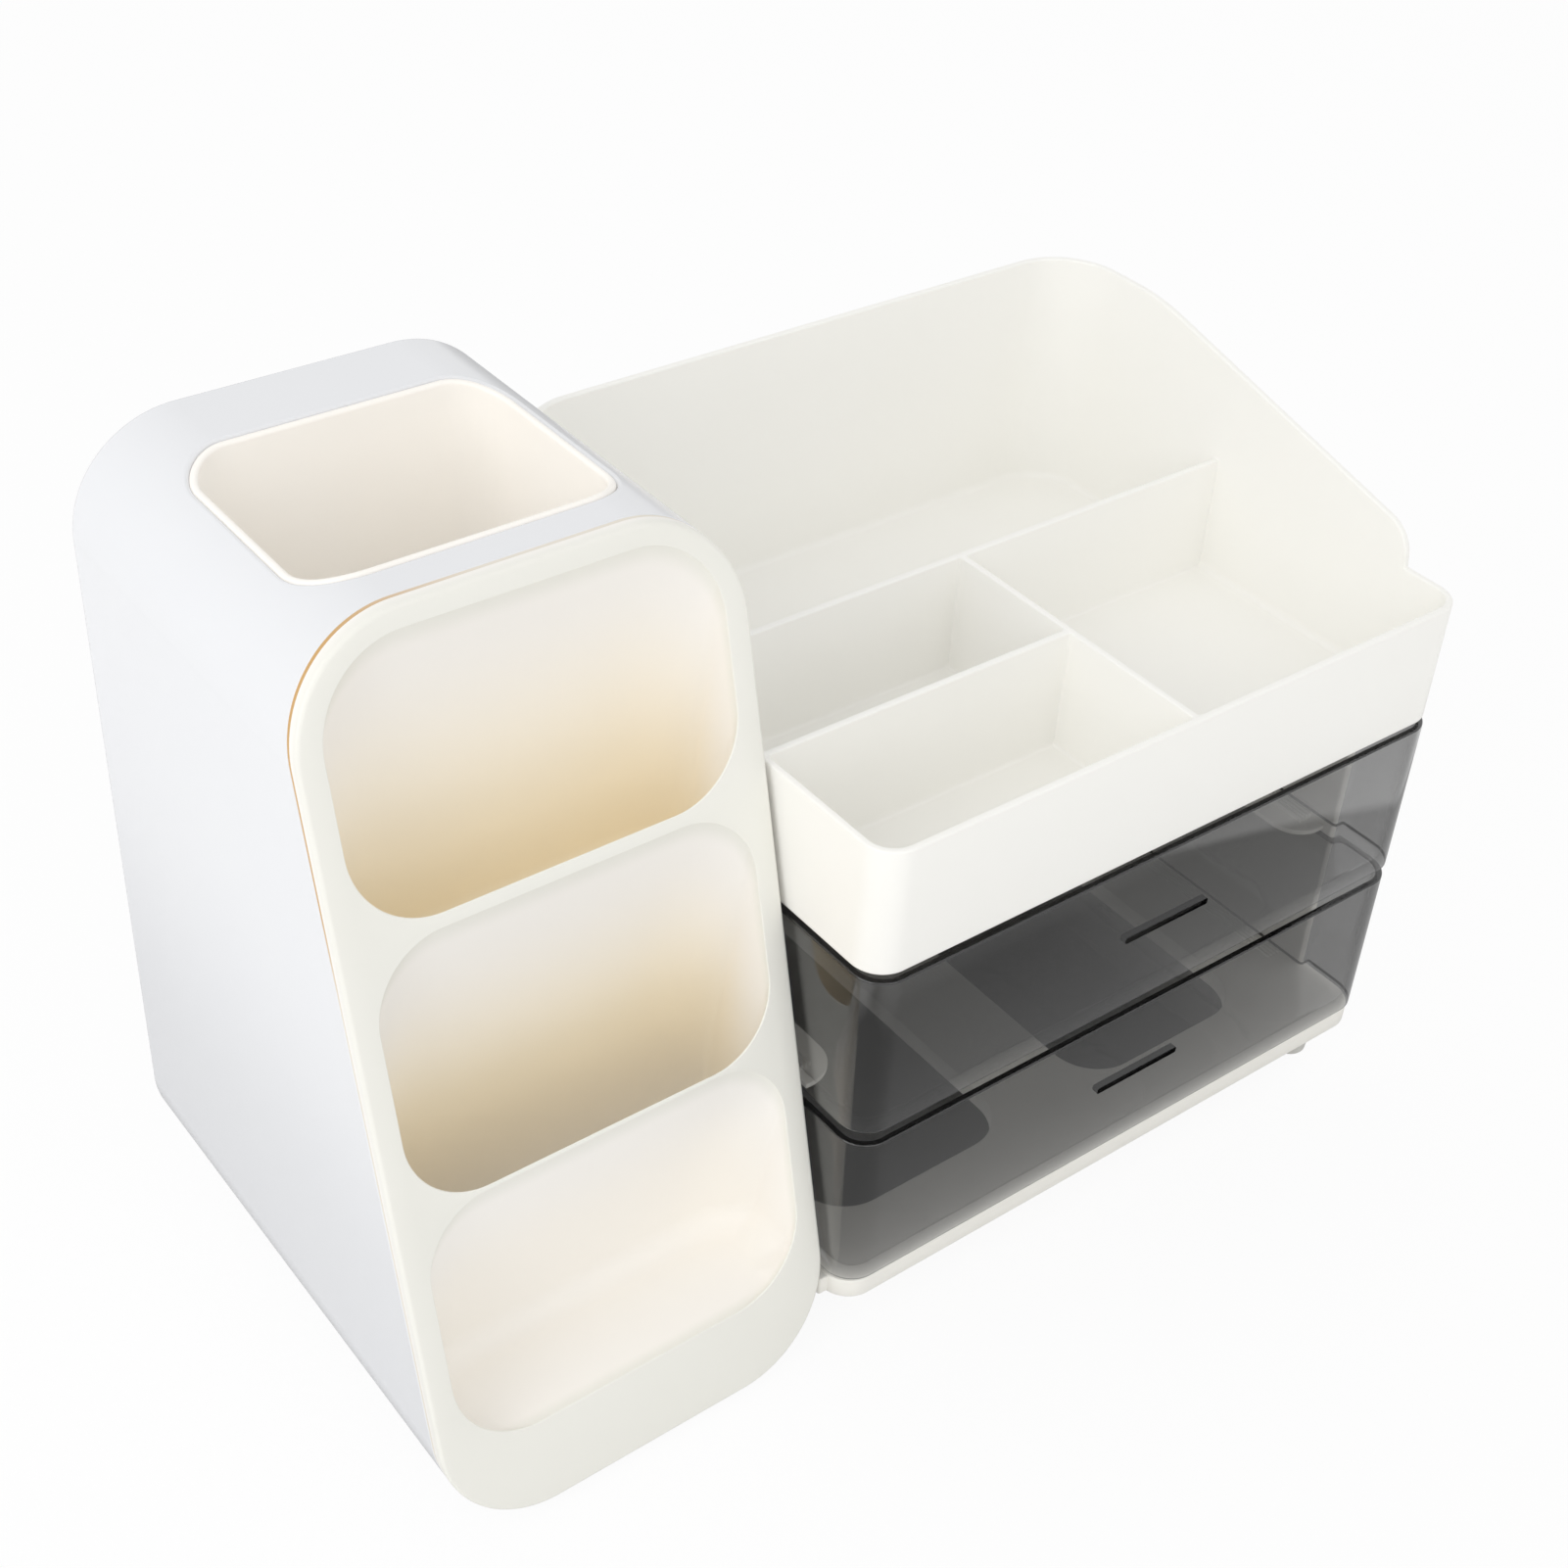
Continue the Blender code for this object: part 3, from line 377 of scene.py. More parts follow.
def smokePolystyrene(name, values, edge=0.0):
    # Clear crystal polystyrene with a neutral smoke dye: polished, so its colour comes from
    # depth. A thin wall hardly bends light, so rays pass straight on and only the outside
    # mirrors; edge darkens the rims and feet, where the real plastic holds the light.
    material = newMaterial(name)
    where = addNode(material, 'TexCoord')
    ripple = addNode(material, 'TexNoise', {"Scale": 1000 / values["rippleMm"], "Detail": 1.0},
                     {"Vector": where.outputs["Object"]})
    bump = addNode(material, 'Bump', {"Strength": values["bump"], "Distance": 0.0001},
                   {"Height": ripple})
    fresnel = addNode(material, 'Fresnel', {"IOR": values["ior"]}, {"Normal": bump})
    strong = addNode(material, 'Math',
                     {"operation": 'MULTIPLY', "use_clamp": True, 1: values["mirror"]}, {0: fresnel})
    # Only outside faces mirror, and not for shadow or diffuse rays: light passes the wall.
    ray = addNode(material, 'LightPath')
    passing = addNode(material, 'Math', {"operation": 'MAXIMUM'},
                      {0: ray.outputs["Is Shadow Ray"], 1: ray.outputs["Is Diffuse Ray"]})
    side = addNode(material, 'NewGeometry')
    without = addNode(material, 'Math', {"operation": 'MAXIMUM'},
                      {0: passing, 1: side.outputs["Backfacing"]})
    outside = addNode(material, 'Math', {"operation": 'SUBTRACT', 0: 1.0}, {1: without})
    share = addNode(material, 'Math', {"operation": 'MULTIPLY'}, {0: strong, 1: outside})
    clear = addNode(material, 'BsdfTransparent', {"Color": fromHex(values["passing"])})
    gloss = addNode(material, 'BsdfGlossy', {"Color": (1, 1, 1, 1), "Roughness": values["roughness"]},
                    {"Normal": bump})
    body = clear
    if edge:
        held = addNode(material, 'BsdfDiffuse', {"Color": fromHex(values["edgeColour"])})
        kept = addNode(material, 'Math', {"operation": 'SUBTRACT', 0: 1.0}, {1: passing})
        much = addNode(material, 'Math', {"operation": 'MULTIPLY', 1: edge}, {0: kept})
        body = addNode(material, 'MixShader', None, {0: much, 1: clear, 2: held})
    skin = addNode(material, 'MixShader', None, {0: share, 1: body, 2: gloss})
    dye = addNode(material, 'VolumeAbsorption',
                  {"Color": fromHex(values["dye"]), "Density": values["density"]})
    addNode(material, 'OutputMaterial', None, {"Surface": skin, "Volume": dye})
    return material


def softRubber(values):
    # Pale thermoplastic rubber: matt, with a fine moulded grain.
    material = newMaterial("pale thermoplastic rubber")
    where = addNode(material, 'TexCoord')
    grain = addNode(material, 'TexNoise', {"Scale": 1000 / values["grainMm"], "Detail": 4.0},
                    {"Vector": where.outputs["Object"]})
    tint = addNode(material, 'Mix',
                   {"data_type": 'RGBA', 6: fromHex(values["colour"]), 7: fromHex(values["shade"])},
                   {0: grain})
    bump = addNode(material, 'Bump', {"Strength": values["bump"], "Distance": 0.0002},
                   {"Height": grain})
    shader = addNode(material, 'BsdfPrincipled', {"Roughness": 0.7, "IOR": 1.52},
                     {"Base Color": tint.outputs[2], "Normal": bump})
    addNode(material, 'OutputMaterial', None, {"Surface": shader})
    return material


plasticValues = {
    "cloudMm": 40.0,        # broad, faint colour clouding
    "grainMm": 1.2,         # the skin's ripple, drawn coarser than the real 0.2 mm so it shows
    "roughSpread": 0.03,
    "bump": 0.04,
}
smokeValues = {
    "rippleMm": 30.0,
    "bump": 0.02,
    "ior": 1.57,
    "roughness": 0.03,
    "mirror": 1.4,          # both skins of a wall mirror, drawn as one
    "dye": "#000000",
    "density": 62.0,        # per metre: a 2 mm wall passes nearly nine tenths
    "passing": "#F8F8F8",   # what each surface lets through
    "edgeColour": "#0C0C0D",
    "edge": 0.75,
}
rubberValues = {"grainMm": 0.8, "bump": 0.2, "colour": "#D9D8D3", "shade": "#C9C8C3"}

# The glow of the tray, the cup and the insert is painted light: a faint emission
trayWhite = mouldedPlastic("satin warm white ABS", "#F8F7F3", "#F6F5F0", 0.42, plasticValues,
                           paintedGlow=0.03)
sleeveWhite = mouldedPlastic("gloss cool white ABS", "#EBECEE", "#E9EAED", 0.20, plasticValues)
cupWhite = mouldedPlastic("satin ivory ABS", "#FDFAF5", "#FCF8F1", 0.40, plasticValues, paintedGlow=0.04)
# held is painted light: emission added where the casing is seen through the smoke walls
casingWhite = mouldedPlastic("satin casing white ABS", "#F6F4EE", "#F4F2EA", 0.45, plasticValues,
                             held=0.11)
smoke = smokePolystyrene("smoke crystal polystyrene", smokeValues)
smokeEdge = smokePolystyrene("smoke crystal polystyrene edge", smokeValues, smokeValues["edge"])
rubber = softRubber(rubberValues)
print("materials made")


# Tray

trayValues = {
    "width": 200.0, "depth": 162.8, "frontRadius": 8.9, "backRadius": 20.0,
    "bottom": 127.4, "floor": 129.4, "lowRim": 164.6, "backRim": 202.0,
    "wall": 2.0, "footRound": 0.9, "rimRound": 0.6, "floorFillet": 2.2, "draft": 0.9,
    "stepY": 20.6, "stepRise": 10.2, "stepRadius": 11.0, "flatY": 123.5, "crestRound": 9.0,
    "leftRiseY": 105.0,
    "dividerThickness": 2.0, "dividerRound": 0.5, "cornerFlare": 0.9, "footFlare": 1.1,
    "dividerDraft": 0.5,
    # start, end and sink of each divider; the shorter ones end inside the wall they meet
    "dividers": {"cross": ((2.0, 90.9), (198.0, 90.9), 0.06),
                 "long": ((100.0, 2.0), (100.0, 89.9), 0.12),
                 "short": ((2.0, 47.7), (99.0, 47.7), 0.18)},
    "steps": 14,
}


def rightRim(y, v):
    # Low in front, a quick rounded step, a long slope, level at the back.
    crest = v["lowRim"] + v["stepRise"]
    slope = (v["backRim"] - crest) / (v["flatY"] - v["stepY"])
    turn = math.pi / 2 - math.atan(slope)
    reach = v["stepRadius"] * math.tan(turn / 2)
    centreY = v["stepY"] + v["stepRadius"]
    centreZ = crest - reach
    arcEnd = centreY - v["stepRadius"] * math.cos(turn)
    inside = np.clip(v["stepRadius"] ** 2 - (y - centreY) ** 2, 0, None)
    height = np.where(y < arcEnd, centreZ + np.sqrt(inside), crest + slope * (y - v["stepY"]))
    height = np.where(y < v["stepY"], v["lowRim"], height)
    over = np.clip(y - (v["flatY"] - v["crestRound"]), 0, 2 * v["crestRound"])
    eased = height - slope * over ** 2 / (4 * v["crestRound"])
    height = np.where(over > 0, eased, height)
    return np.where(y > v["flatY"] + v["crestRound"], v["backRim"], height)


def leftRim(y, v):
    # Low in front, then a hollow curve up to the back.
    rise = v["backRim"] - v["lowRim"]
    run = np.clip(y - v["leftRiseY"], 0, rise)
    return v["lowRim"] + rise - np.sqrt(rise ** 2 - run ** 2)


def makeTrayShell(v):
    straight = v["depth"] - v["frontRadius"] - v["backRadius"]

    def share(y):
        return (np.asarray(y) - v["frontRadius"]) / straight

    stepArc = v["stepRadius"] * (1 - np.cos(np.radians(np.linspace(4, 76, 16))))
    rightY = np.concatenate([[12.0, 16.0, 19.0, 20.2, v["stepY"] + 0.02],
                             v["stepY"] + 0.02 + stepArc, np.linspace(34, 110, 12),
                             np.linspace(112, 140, 16)])
    leftY = np.concatenate([np.linspace(15, 100, 10), np.linspace(103, 139, 22),
                            [140.2, 141.2, 141.8, 142.1]])
    points, normals = roundedPath(unitPlan(v), v["steps"],
                                  {0: np.linspace(0.1, 0.9, 9), 1: share(rightY),
                                   2: np.linspace(0.1, 0.9, 9), 3: 1 - share(leftY[::-1])})
    height = np.where(points[:, 0] > v["width"] / 2, rightRim(points[:, 1], v),
                      leftRim(points[:, 1], v))
    height = np.where(points[:, 1] > v["depth"] - v["backRadius"], v["backRim"], height)
    crest = lift(points, height)
    along = np.roll(crest, -1, 0) - np.roll(crest, 1, 0)
    along /= np.linalg.norm(along, axis=1)[:, None]
    inward = lift(normals, 0.0)
    up = np.cross(along, inward)
    up /= np.linalg.norm(up, axis=1)[:, None]
    stations = shellStations(v["wall"], 0.0, 0.0, 0.0, v["footRound"], v["rimRound"],
                             v["floorFillet"], v["draft"])
    quarter = len(stations) // 4
    loops = []
    for index, (inset, offset) in enumerate(stations):
        if index < quarter:
            loops.append(lift(points + normals * inset, v["bottom"] + offset))
        elif index < 3 * quarter:
            loops.append(crest + inward * inset + up * offset)
        else:
            loops.append(lift(points + normals * inset, v["floor"] + offset))
    return stackLoops("tray_shell", loops, trayWhite)


def makeDivider(name, start, end, sink, v):
    # A thin wall between two places: across it runs up one side, over a rounded top and down the
    # other; its sides flare at the ends and the foot, as a moulded corner does. sink keeps the
    # tops of walls that cross from lying in one plane.
    start, end = np.array(start, dtype=float), np.array(end, dtype=float)
    length = np.linalg.norm(end - start)
    ahead = (end - start) / length
    across = np.array([-ahead[1], ahead[0]])
    flare = v["cornerFlare"]
    ends = flare * (1 - np.cos(arcSteps(8)))
    along = np.concatenate([[-1.5], ends, np.linspace(flare, length - flare, 8)[1:-1],
                            length - ends[::-1], [length + 1.5]])
    near = np.clip(np.minimum(along, length - along), 0, flare)
    endFlare = flare - np.sqrt(flare ** 2 - (flare - near) ** 2)
    top, floor = v["lowRim"] - sink, v["floor"]
    foot = v["footFlare"]
    edge = v["dividerRound"]
    quarter = arcSteps(5)
    footHeight = foot * (1 - np.cos(arcSteps(6)))
    heights = np.concatenate([[-0.6], footHeight, [(top - floor) / 2],
                              top - floor - edge + edge * np.sin(quarter)])
    climb = np.clip(heights, 0, foot)
    footSwell = foot - np.sqrt(foot ** 2 - (foot - climb) ** 2)
    fall = np.clip(heights - (top - floor - edge), 0, edge)
    topRound = edge - np.sqrt(edge ** 2 - fall ** 2)
    draft = v["dividerDraft"] * (1 - np.clip(heights / (top - floor), 0, 1))
    swell = np.maximum(endFlare[:, None], footSwell[None, :])
    half = v["dividerThickness"] / 2 + draft[None, :] + swell - topRound[None, :]
    place3 = start[None, :] + along[:, None] * ahead[None, :]
    sideA = place3[:, None, :] + across[None, None, :] * half[:, :, None]
    sideB = place3[:, None, :] - across[None, None, :] * half[:, ::-1, None]
    flat = np.concatenate([sideA, sideB], 1)
    z = np.broadcast_to(np.concatenate([heights, heights[::-1]]) + floor, flat.shape[:2])
    loops = list(np.concatenate([flat, z[:, :, None]], 2))
    return stackLoops(name, loops, trayWhite, weld=0.0005)


makeCamera(cameraValues)
trayPieces = [makeTrayShell(trayValues)]
for name, (start, end, sink) in trayValues["dividers"].items():
    trayPieces.append(makeDivider("tray_divider_" + name, start, end, sink, trayValues))
for piece in trayPieces:
    place(piece, "casing", "warm_white", "top_tray")
print("tray made")


# Drawers

drawerValues = {
    "width": 200.0, "front": -0.6, "frontRadius": 8.9, "wrapEnd": 20.8, "leftWrapEnd": 46.0,
    "wrapRound": 0.7, "bodySide": 3.4, "neckRadius": 1.0, "back": 157.3, "backRadius": 16.6,
    "wall": 2.0, "height": 49.9, "floor": 2.2, "footRound": 0.7, "rimRound": 0.45,
    "fillet": 2.2, "innerWrapRadius": 2.3, "innerNeckRadius": 1.05,
    "slotLength": 30.0, "slotHeight": 2.0, "slotMiddle": 101.0, "slotDrop": 25.6,
    "steps": 12, "bottoms": {"lower_drawer": 21.5, "upper_drawer": 75.6},
}


def drawerCorners(v, inset, wrapRound, neckRadius):
    left, right = inset, v["width"] - inset
    front, back = v["front"] + inset, v["back"] - inset
    wrap, leftWrap = v["wrapEnd"] - inset, v["leftWrapEnd"] - inset
    bodyLeft, bodyRight = v["bodySide"] + inset, v["width"] - v["bodySide"] - inset
    frontRadius, backRadius = v["frontRadius"] - inset, v["backRadius"] - inset
    return [(left, front, frontRadius), (right, front, frontRadius), (right, wrap, wrapRound),
            (bodyRight, wrap, neckRadius), (bodyRight, back, backRadius),
            (bodyLeft, back, backRadius), (bodyLeft, leftWrap, neckRadius), (left, leftWrap, wrapRound)]


def makeDrawer(name, bottom, v):
    outer, outerNormals = roundedPath(drawerCorners(v, 0.0, v["wrapRound"], v["neckRadius"]), v["steps"])
    inside, insideNormals = roundedPath(
        drawerCorners(v, v["wall"], v["innerWrapRadius"], v["innerNeckRadius"]), v["steps"])
    top = bottom + v["height"]
    rim = v["rimRound"]
    quarter = arcSteps(4)
    loops = [lift(outer + outerNormals * v["footRound"] * (1 - math.sin(a)),
                  bottom + v["footRound"] * (1 - math.cos(a))) for a in quarter]
    loops += [lift(outer + outerNormals * rim * (1 - math.cos(a)), top - rim * (1 - math.sin(a)))
              for a in quarter]
    loops += [lift(inside - insideNormals * rim * (1 - math.sin(a)), top - rim * (1 - math.cos(a)))
              for a in quarter]
    fillet = v["fillet"]
    loops += [lift(inside + insideNormals * fillet * (1 - math.cos(a)),
                   bottom + v["floor"] + fillet * (1 - math.sin(a))) for a in arcSteps(6)]
    drawer = stackLoops(name, loops, smoke, weld=0.0005)
    slotZ = top - v["slotDrop"]
    half = v["slotHeight"] / 2
    plan = box(v["slotLength"], v["wall"] * 3, 0.5,
               (v["slotMiddle"] - v["slotLength"] / 2, v["front"] - v["wall"]))
    cutter = slab(name + "_slot", plan, slotZ - half, slotZ + half, 0.5, smoke, 4, 3)
    joinOrCut(drawer, cutter, 'DIFFERENCE')
    drawer.data.set_sharp_from_angle(angle=math.radians(35))
    markEdges(drawer, bottom, top, v)
    return drawer


def markEdges(drawer, bottom, top, v):
    # The rim, the outer foot round and the slot's walls take the darker edge material.
    mesh = drawer.data
    mesh.materials.append(smokeEdge)
    middle = (readVectors(mesh.polygons, "center") - layoutShift) / mm
    facing = readVectors(mesh.polygons, "normal")
    rim = middle[:, 2] > top - v["rimRound"] - 0.02
    foot = (middle[:, 2] < bottom + v["footRound"]) & (facing[:, 2] > -0.97)
    slotZ = top - v["slotDrop"]
    depth = middle[:, 1] - v["front"]
    slot = ((depth > 0.02) & (depth < v["wall"] - 0.02)
            & (np.abs(middle[:, 2] - slotZ) < v["slotHeight"])
            & (np.abs(middle[:, 0] - v["slotMiddle"]) < v["slotLength"] / 2 + 0.5))
    mesh.polygons.foreach_set("material_index", (rim | foot | slot).astype(int))


for name, bottom in drawerValues["bottoms"].items():
    drawer = makeDrawer(name + "_shell", bottom, drawerValues)
    place(drawer, name, "smoke", name)
print("drawers made")


# Casing: base plate, panels, ledges and feet

casingValues = {
    "width": 200.0, "depth": 162.8, "frontRadius": 8.9, "backRadius": 20.0,
    "baseLow": 14.15, "baseHigh": 20.5, "baseEdge": 0.7,
    "windowLength": 65.2, "windowMargin": 20.8, "windowRadius": 14.5, "windowMiddle": 92.6,
    "bridge": 29.2,
    "lugs": ((18.0, 40.0), (122.8, 144.8)), "lugEnd": -14.8, "shoulder": (6.5, 81.4, -2.4),
    "join": 9.0,            # how far a lug or the shoulder reaches into the plate's outline
    "setback": {"left": 47.5, "right": 22.2}, "panel": 3.0, "panelBack": 142.5,
    "casingLow": 20.8, "casingHigh": 127.1, "casingBack": 142.8, "gap": 0.3,
    "ledgeWidth": 15.0, "ledgeFront": 24.7, "ledgeLow": 72.0, "ledgeHigh": 73.6, "ledgeRound": 9.5,
    "ribCount": 4, "ribWidth": 0.8, "ribPitch": 1.4, "ribEdge": 3.6, "ribFront": 29.5,
    "ribBack": 142.3, "ledgeRibTop": 75.3, "baseRibTop": 21.2,
    "dimpleRadius": 5.5, "dimpleDepth": 1.2, "dimple": (97.0, 81.4),
}


def makeBasePlate(v):
    plate = slab("base_plate_moulding", unitPlan(v), v["baseLow"], v["baseHigh"], v["baseEdge"],
                 casingWhite)
    for side in (-1, 1):
        near = v["windowMiddle"] + side * v["bridge"] / 2
        low = min(near, near + side * v["windowLength"])
        points, normals = roundedPath(box(v["windowLength"], v["depth"] - 2 * v["windowMargin"],
                                          v["windowRadius"], (low, v["windowMargin"])), 12)
        edge = v["baseEdge"]
        grow = [edge * 2, edge, edge * 0.3, 0, 0, edge * 0.3, edge, edge * 2]
        heights = [v["baseLow"] - edge, v["baseLow"], v["baseLow"] + edge * 0.3, v["baseLow"] + edge,
                   v["baseHigh"] - edge, v["baseHigh"] - edge * 0.3, v["baseHigh"],
                   v["baseHigh"] + edge]
        loops = [lift(points - normals * g, z) for g, z in zip(grow, heights)]
        joinOrCut(plate, stackLoops("window", loops, casingWhite), 'DIFFERENCE')
    for low, high in v["lugs"]:
        lug = slab("lug", box(v["join"] - v["lugEnd"], high - low, 1.0, (v["lugEnd"], low)),
                   v["baseLow"] + 0.5, v["baseHigh"] - 0.5, 0.5, casingWhite, 4)
        joinOrCut(plate, lug, 'UNION')
    low, high, reach = v["shoulder"]
    shoulder = slab("shoulder", box(v["join"] - reach, high - low, 0.8, (reach, low)),
                    v["baseLow"] + v["gap"], v["baseHigh"] - v["gap"], 0.5, casingWhite, 4)
    joinOrCut(plate, shoulder, 'UNION')
    angle = np.linspace(0, 2 * math.pi, 48, endpoint=False)
    circle = np.stack([np.cos(angle), np.sin(angle)], 1)
    middle = np.array(v["dimple"])
    bowl = [(0.25, 1.0), (0.5, 0.97), (0.9, 0.75), (1.05, 0.0), (1.1, -1.0)]
    loops = [lift(middle + circle * v["dimpleRadius"] * share, v["baseHigh"] - v["dimpleDepth"] * deep)
             for share, deep in bowl]
    joinOrCut(plate, stackLoops("dimple", loops, casingWhite), 'DIFFERENCE')
    plate.data.set_sharp_from_angle(angle=math.radians(30))
    return plate


def makeRibs(name, low, high, v):
    ribs = []
    for side in ("left", "right"):
        for index in range(v["ribCount"]):
            edge = v["ribEdge"] + index * v["ribPitch"]
            x = edge if side == "left" else v["width"] - edge - v["ribWidth"]
            ribs.append(slab(f"{name}_rib_{side}_{index}",
                             box(v["ribWidth"], v["ribBack"] - v["ribFront"], 0.38, (x, v["ribFront"])),
                             low, high, 0.3, casingWhite, 4, 2))
    return ribs


basePlate = makeBasePlate(casingValues)
place(basePlate, "casing", "casing_white", "base_plate")
for rib in makeRibs("base", casingValues["baseHigh"] - 0.3, casingValues["baseRibTop"], casingValues):
    place(rib, "casing", "casing_white", "base_plate")

c = casingValues
for side, low in (("left", 0.0), ("right", c["width"] - c["panel"])):
    panel = slab("side_panel_" + side + "_moulding",
                 box(c["panel"], c["panelBack"] - c["setback"][side], 0.7, (low, c["setback"][side])),
                 c["casingLow"], c["casingHigh"], 0.3, casingWhite, 5, 2)
    place(panel, "casing", "casing_white", "side_panel_" + side)
    inside = c["panel"] + c["gap"]
    corners = [(inside, c["ledgeFront"], 0.3), (c["ledgeWidth"], c["ledgeFront"], c["ledgeRound"]),
               (c["ledgeWidth"], c["casingBack"], 0.3), (inside, c["casingBack"], 0.3)]
    if side == "right":
        corners = [(c["width"] - x, y, radius) for x, y, radius in reversed(corners)]
    ledge = slab("runner_ledge_" + side + "_moulding", corners, c["ledgeLow"], c["ledgeHigh"], 0.28,
                 casingWhite, 12, 2)
    place(ledge, "casing", "casing_white", "runner_ledge_" + side)
for rib in makeRibs("ledge", c["ledgeHigh"] - 0.3, c["ledgeRibTop"], c):
    side = "left" if "left" in rib.name else "right"
    place(rib, "casing", "casing_white", "runner_ledge_" + side)

inside, cornerRound = c["depth"] - c["panel"], c["backRadius"] - c["panel"]
backCorners = [(c["width"], c["casingBack"], 0.4), (c["width"], c["depth"], c["backRadius"]),
               (0, c["depth"], c["backRadius"]), (0, c["casingBack"], 0.4),
               (c["panel"], c["casingBack"], 0.4), (c["panel"], inside, cornerRound),
               (c["width"] - c["panel"], inside, cornerRound),
               (c["width"] - c["panel"], c["casingBack"], 0.4)]
backPanel = slab("back_panel_moulding", backCorners, c["casingLow"], c["casingHigh"], 0.3,
                 casingWhite, 14, 2)
place(backPanel, "casing", "casing_white", "back_panel")

footValues = {
    "unit": {"top": 13.85, "topRadius": 6.5, "tipRadius": 5.6, "edge": 0.6,
             "places": {"front_left": (15.5, 15.5), "front_right": (187.3, 12.7),
                        "back_left": (15.5, 147.3), "back_right": (187.3, 150.1)}},
    "tower": {"top": 1.6, "topRadius": 6.0, "tipRadius": 6.0, "edge": 0.4,
              "places": {"front_left": (-81.0, 22.0), "front_right": (-35.5, 22.0),
                         "back_left": (-81.0, 145.0), "back_right": (-35.5, 145.0)}},
}
for group, node in (("unit", "unit_foot_"), ("tower", "tower_pad_")):
    v = footValues[group]
    angle = np.linspace(0, 2 * math.pi, 48, endpoint=False)
    circle = np.stack([np.cos(angle), np.sin(angle)], 1)
    quarter = arcSteps(4)
    profile = [(v["tipRadius"] - v["edge"] * (1 - math.sin(a)), v["edge"] * (1 - math.cos(a)))
               for a in quarter]
    profile += [(v["topRadius"] - 0.3 * (1 - math.cos(a)), v["top"] - 0.3 * (1 - math.sin(a)))
                for a in quarter]
    for name, middle in v["places"].items():
        loops = [lift(np.array(middle) + circle * radius, z) for radius, z in profile]
        foot = stackLoops(node + name + "_moulding", loops, rubber)
        place(foot, "casing", "grip_rubber", node + name)
print("casing made")


# Tower

towerValues = {
    "left": -115.0, "right": -1.5, "bottom": 1.9, "top": 230.6, "radius": 28.5,
    "back": 162.5, "frontY": 0.6, "setback": 58.7,
    "flange": 3.1, "seam": 0.9, "wall": 2.5,
    "flangeEdge": 1.1, "sleeveEdge": 0.7, "backEdge": 1.6,
    "steps": 30, "lip": 0.35, "collarInset": 0.15, "slotSlack": 0.3,
}
pocketValues = {
    # slope is how far back the walls run per millimetre down, easing off over easing millimetres
    "low": {"left": -108.7, "right": -7.8, "bottom": 25.5, "top": 92.5, "bottomRadius": 21.0,
            "topRadius": 18.0, "slope": 0.23, "easing": 47.9, "floor": 25.4, "fillet": 8.0},
    "middle": {"left": -108.7, "right": -7.8, "bottom": 93.6, "top": 158.8, "bottomRadius": 19.0,
               "topRadius": 19.0, "slope": 0.26, "easing": 30.9, "floor": 45.0, "fillet": 6.0},
    "high": {"left": -108.7, "right": -7.8, "bottom": 162.2, "top": 225.5, "bottomRadius": 20.0,
             "topRadius": 22.0, "slope": 0.30, "easing": 13.8, "floor": 133.0, "fillet": 5.0},
}
cupValues = {
    "left": -99.5, "right": -17.0, "front": 73.1, "back": 139.7, "radius": 14.0,
    "gap": 0.35, "wall": 2.0, "floor": 123.1, "bottom": 120.6, "rim": 0.9, "fillet": 6.0,
    "footRound": 2.0, "bead": 0.9, "sink": 0.15,
}
leanAngle = math.atan2(towerValues["setback"], towerValues["top"] - towerValues["bottom"])
frontNormal = np.array([0.0, math.cos(leanAngle), -math.sin(leanAngle)])
frontPlane = float(toFrame([(0.0, towerValues["frontY"], towerValues["bottom"])])[0] @ frontNormal)
# Painted shade and light in the pockets, read by the insert's material
pocketPaintedShade = {
    # metres behind the front: the pockets' walls are painted paler than the front (painted light), then
    # warmer (painted shade)
    "normal": frontNormal.tolist(),
    "wallStart": frontPlane + 0.0003,
    "wallEnd": frontPlane + 0.004,
    "paintedLitWallColour": "#F9F6F1",
    "start": frontPlane + 0.004,
    "end": frontPlane + 0.036,
    "colour": "#FFF2D6",
    "low": 0.03,        # heights between which the painted warm shade grows to full, so that the low pocket is nearly free of it
    "high": 0.10,       # pocket is nearly free of it
    "least": 0.12,
}
collarShadeValues = {
    "middle": toFrame([(-112.0, 55.0, 200.0)])[0].tolist(),
    "near": 0.026,      # metres from there where the painted brown shade starts to fade
    "far": 0.060,
    "colour": "#CFA468",
    "fadeColour": "#E9E2D6",
}
# The insert carries the pockets' painted shade and light and a faint painted glow
insertWhite = mouldedPlastic("satin cream white ABS", "#EFEEE7", "#EDECE4", 0.40, plasticValues,
                             pocketPaintedShade, paintedGlow=0.02)
# Painted shade for the seam before the sleeve
seamPaintedShade = collarPaintedShade(collarShadeValues)


def slantY(z, t):
    return t["frontY"] + (z - t["bottom"]) * t["setback"] / (t["top"] - t["bottom"])


def topZ(x, t):
    # Height of the tower's rounded top over a place across it.
    reach = np.clip(np.maximum(t["left"] + t["radius"] - x, x - (t["right"] - t["radius"])), 0, None)
    return t["top"] - t["radius"] + np.sqrt(np.clip(t["radius"] ** 2 - reach ** 2, 0, None))


def towerOutline(t):
    width, height = t["right"] - t["left"], t["top"] - t["bottom"]
    return roundedPath(box(width, height, t["radius"], (t["left"], t["bottom"])), t["steps"])


def standUp(flat, y):
    # (across, up) points to layout points at a depth that may vary.
    return np.column_stack([flat[:, 0], np.broadcast_to(y, len(flat)), flat[:, 1]])


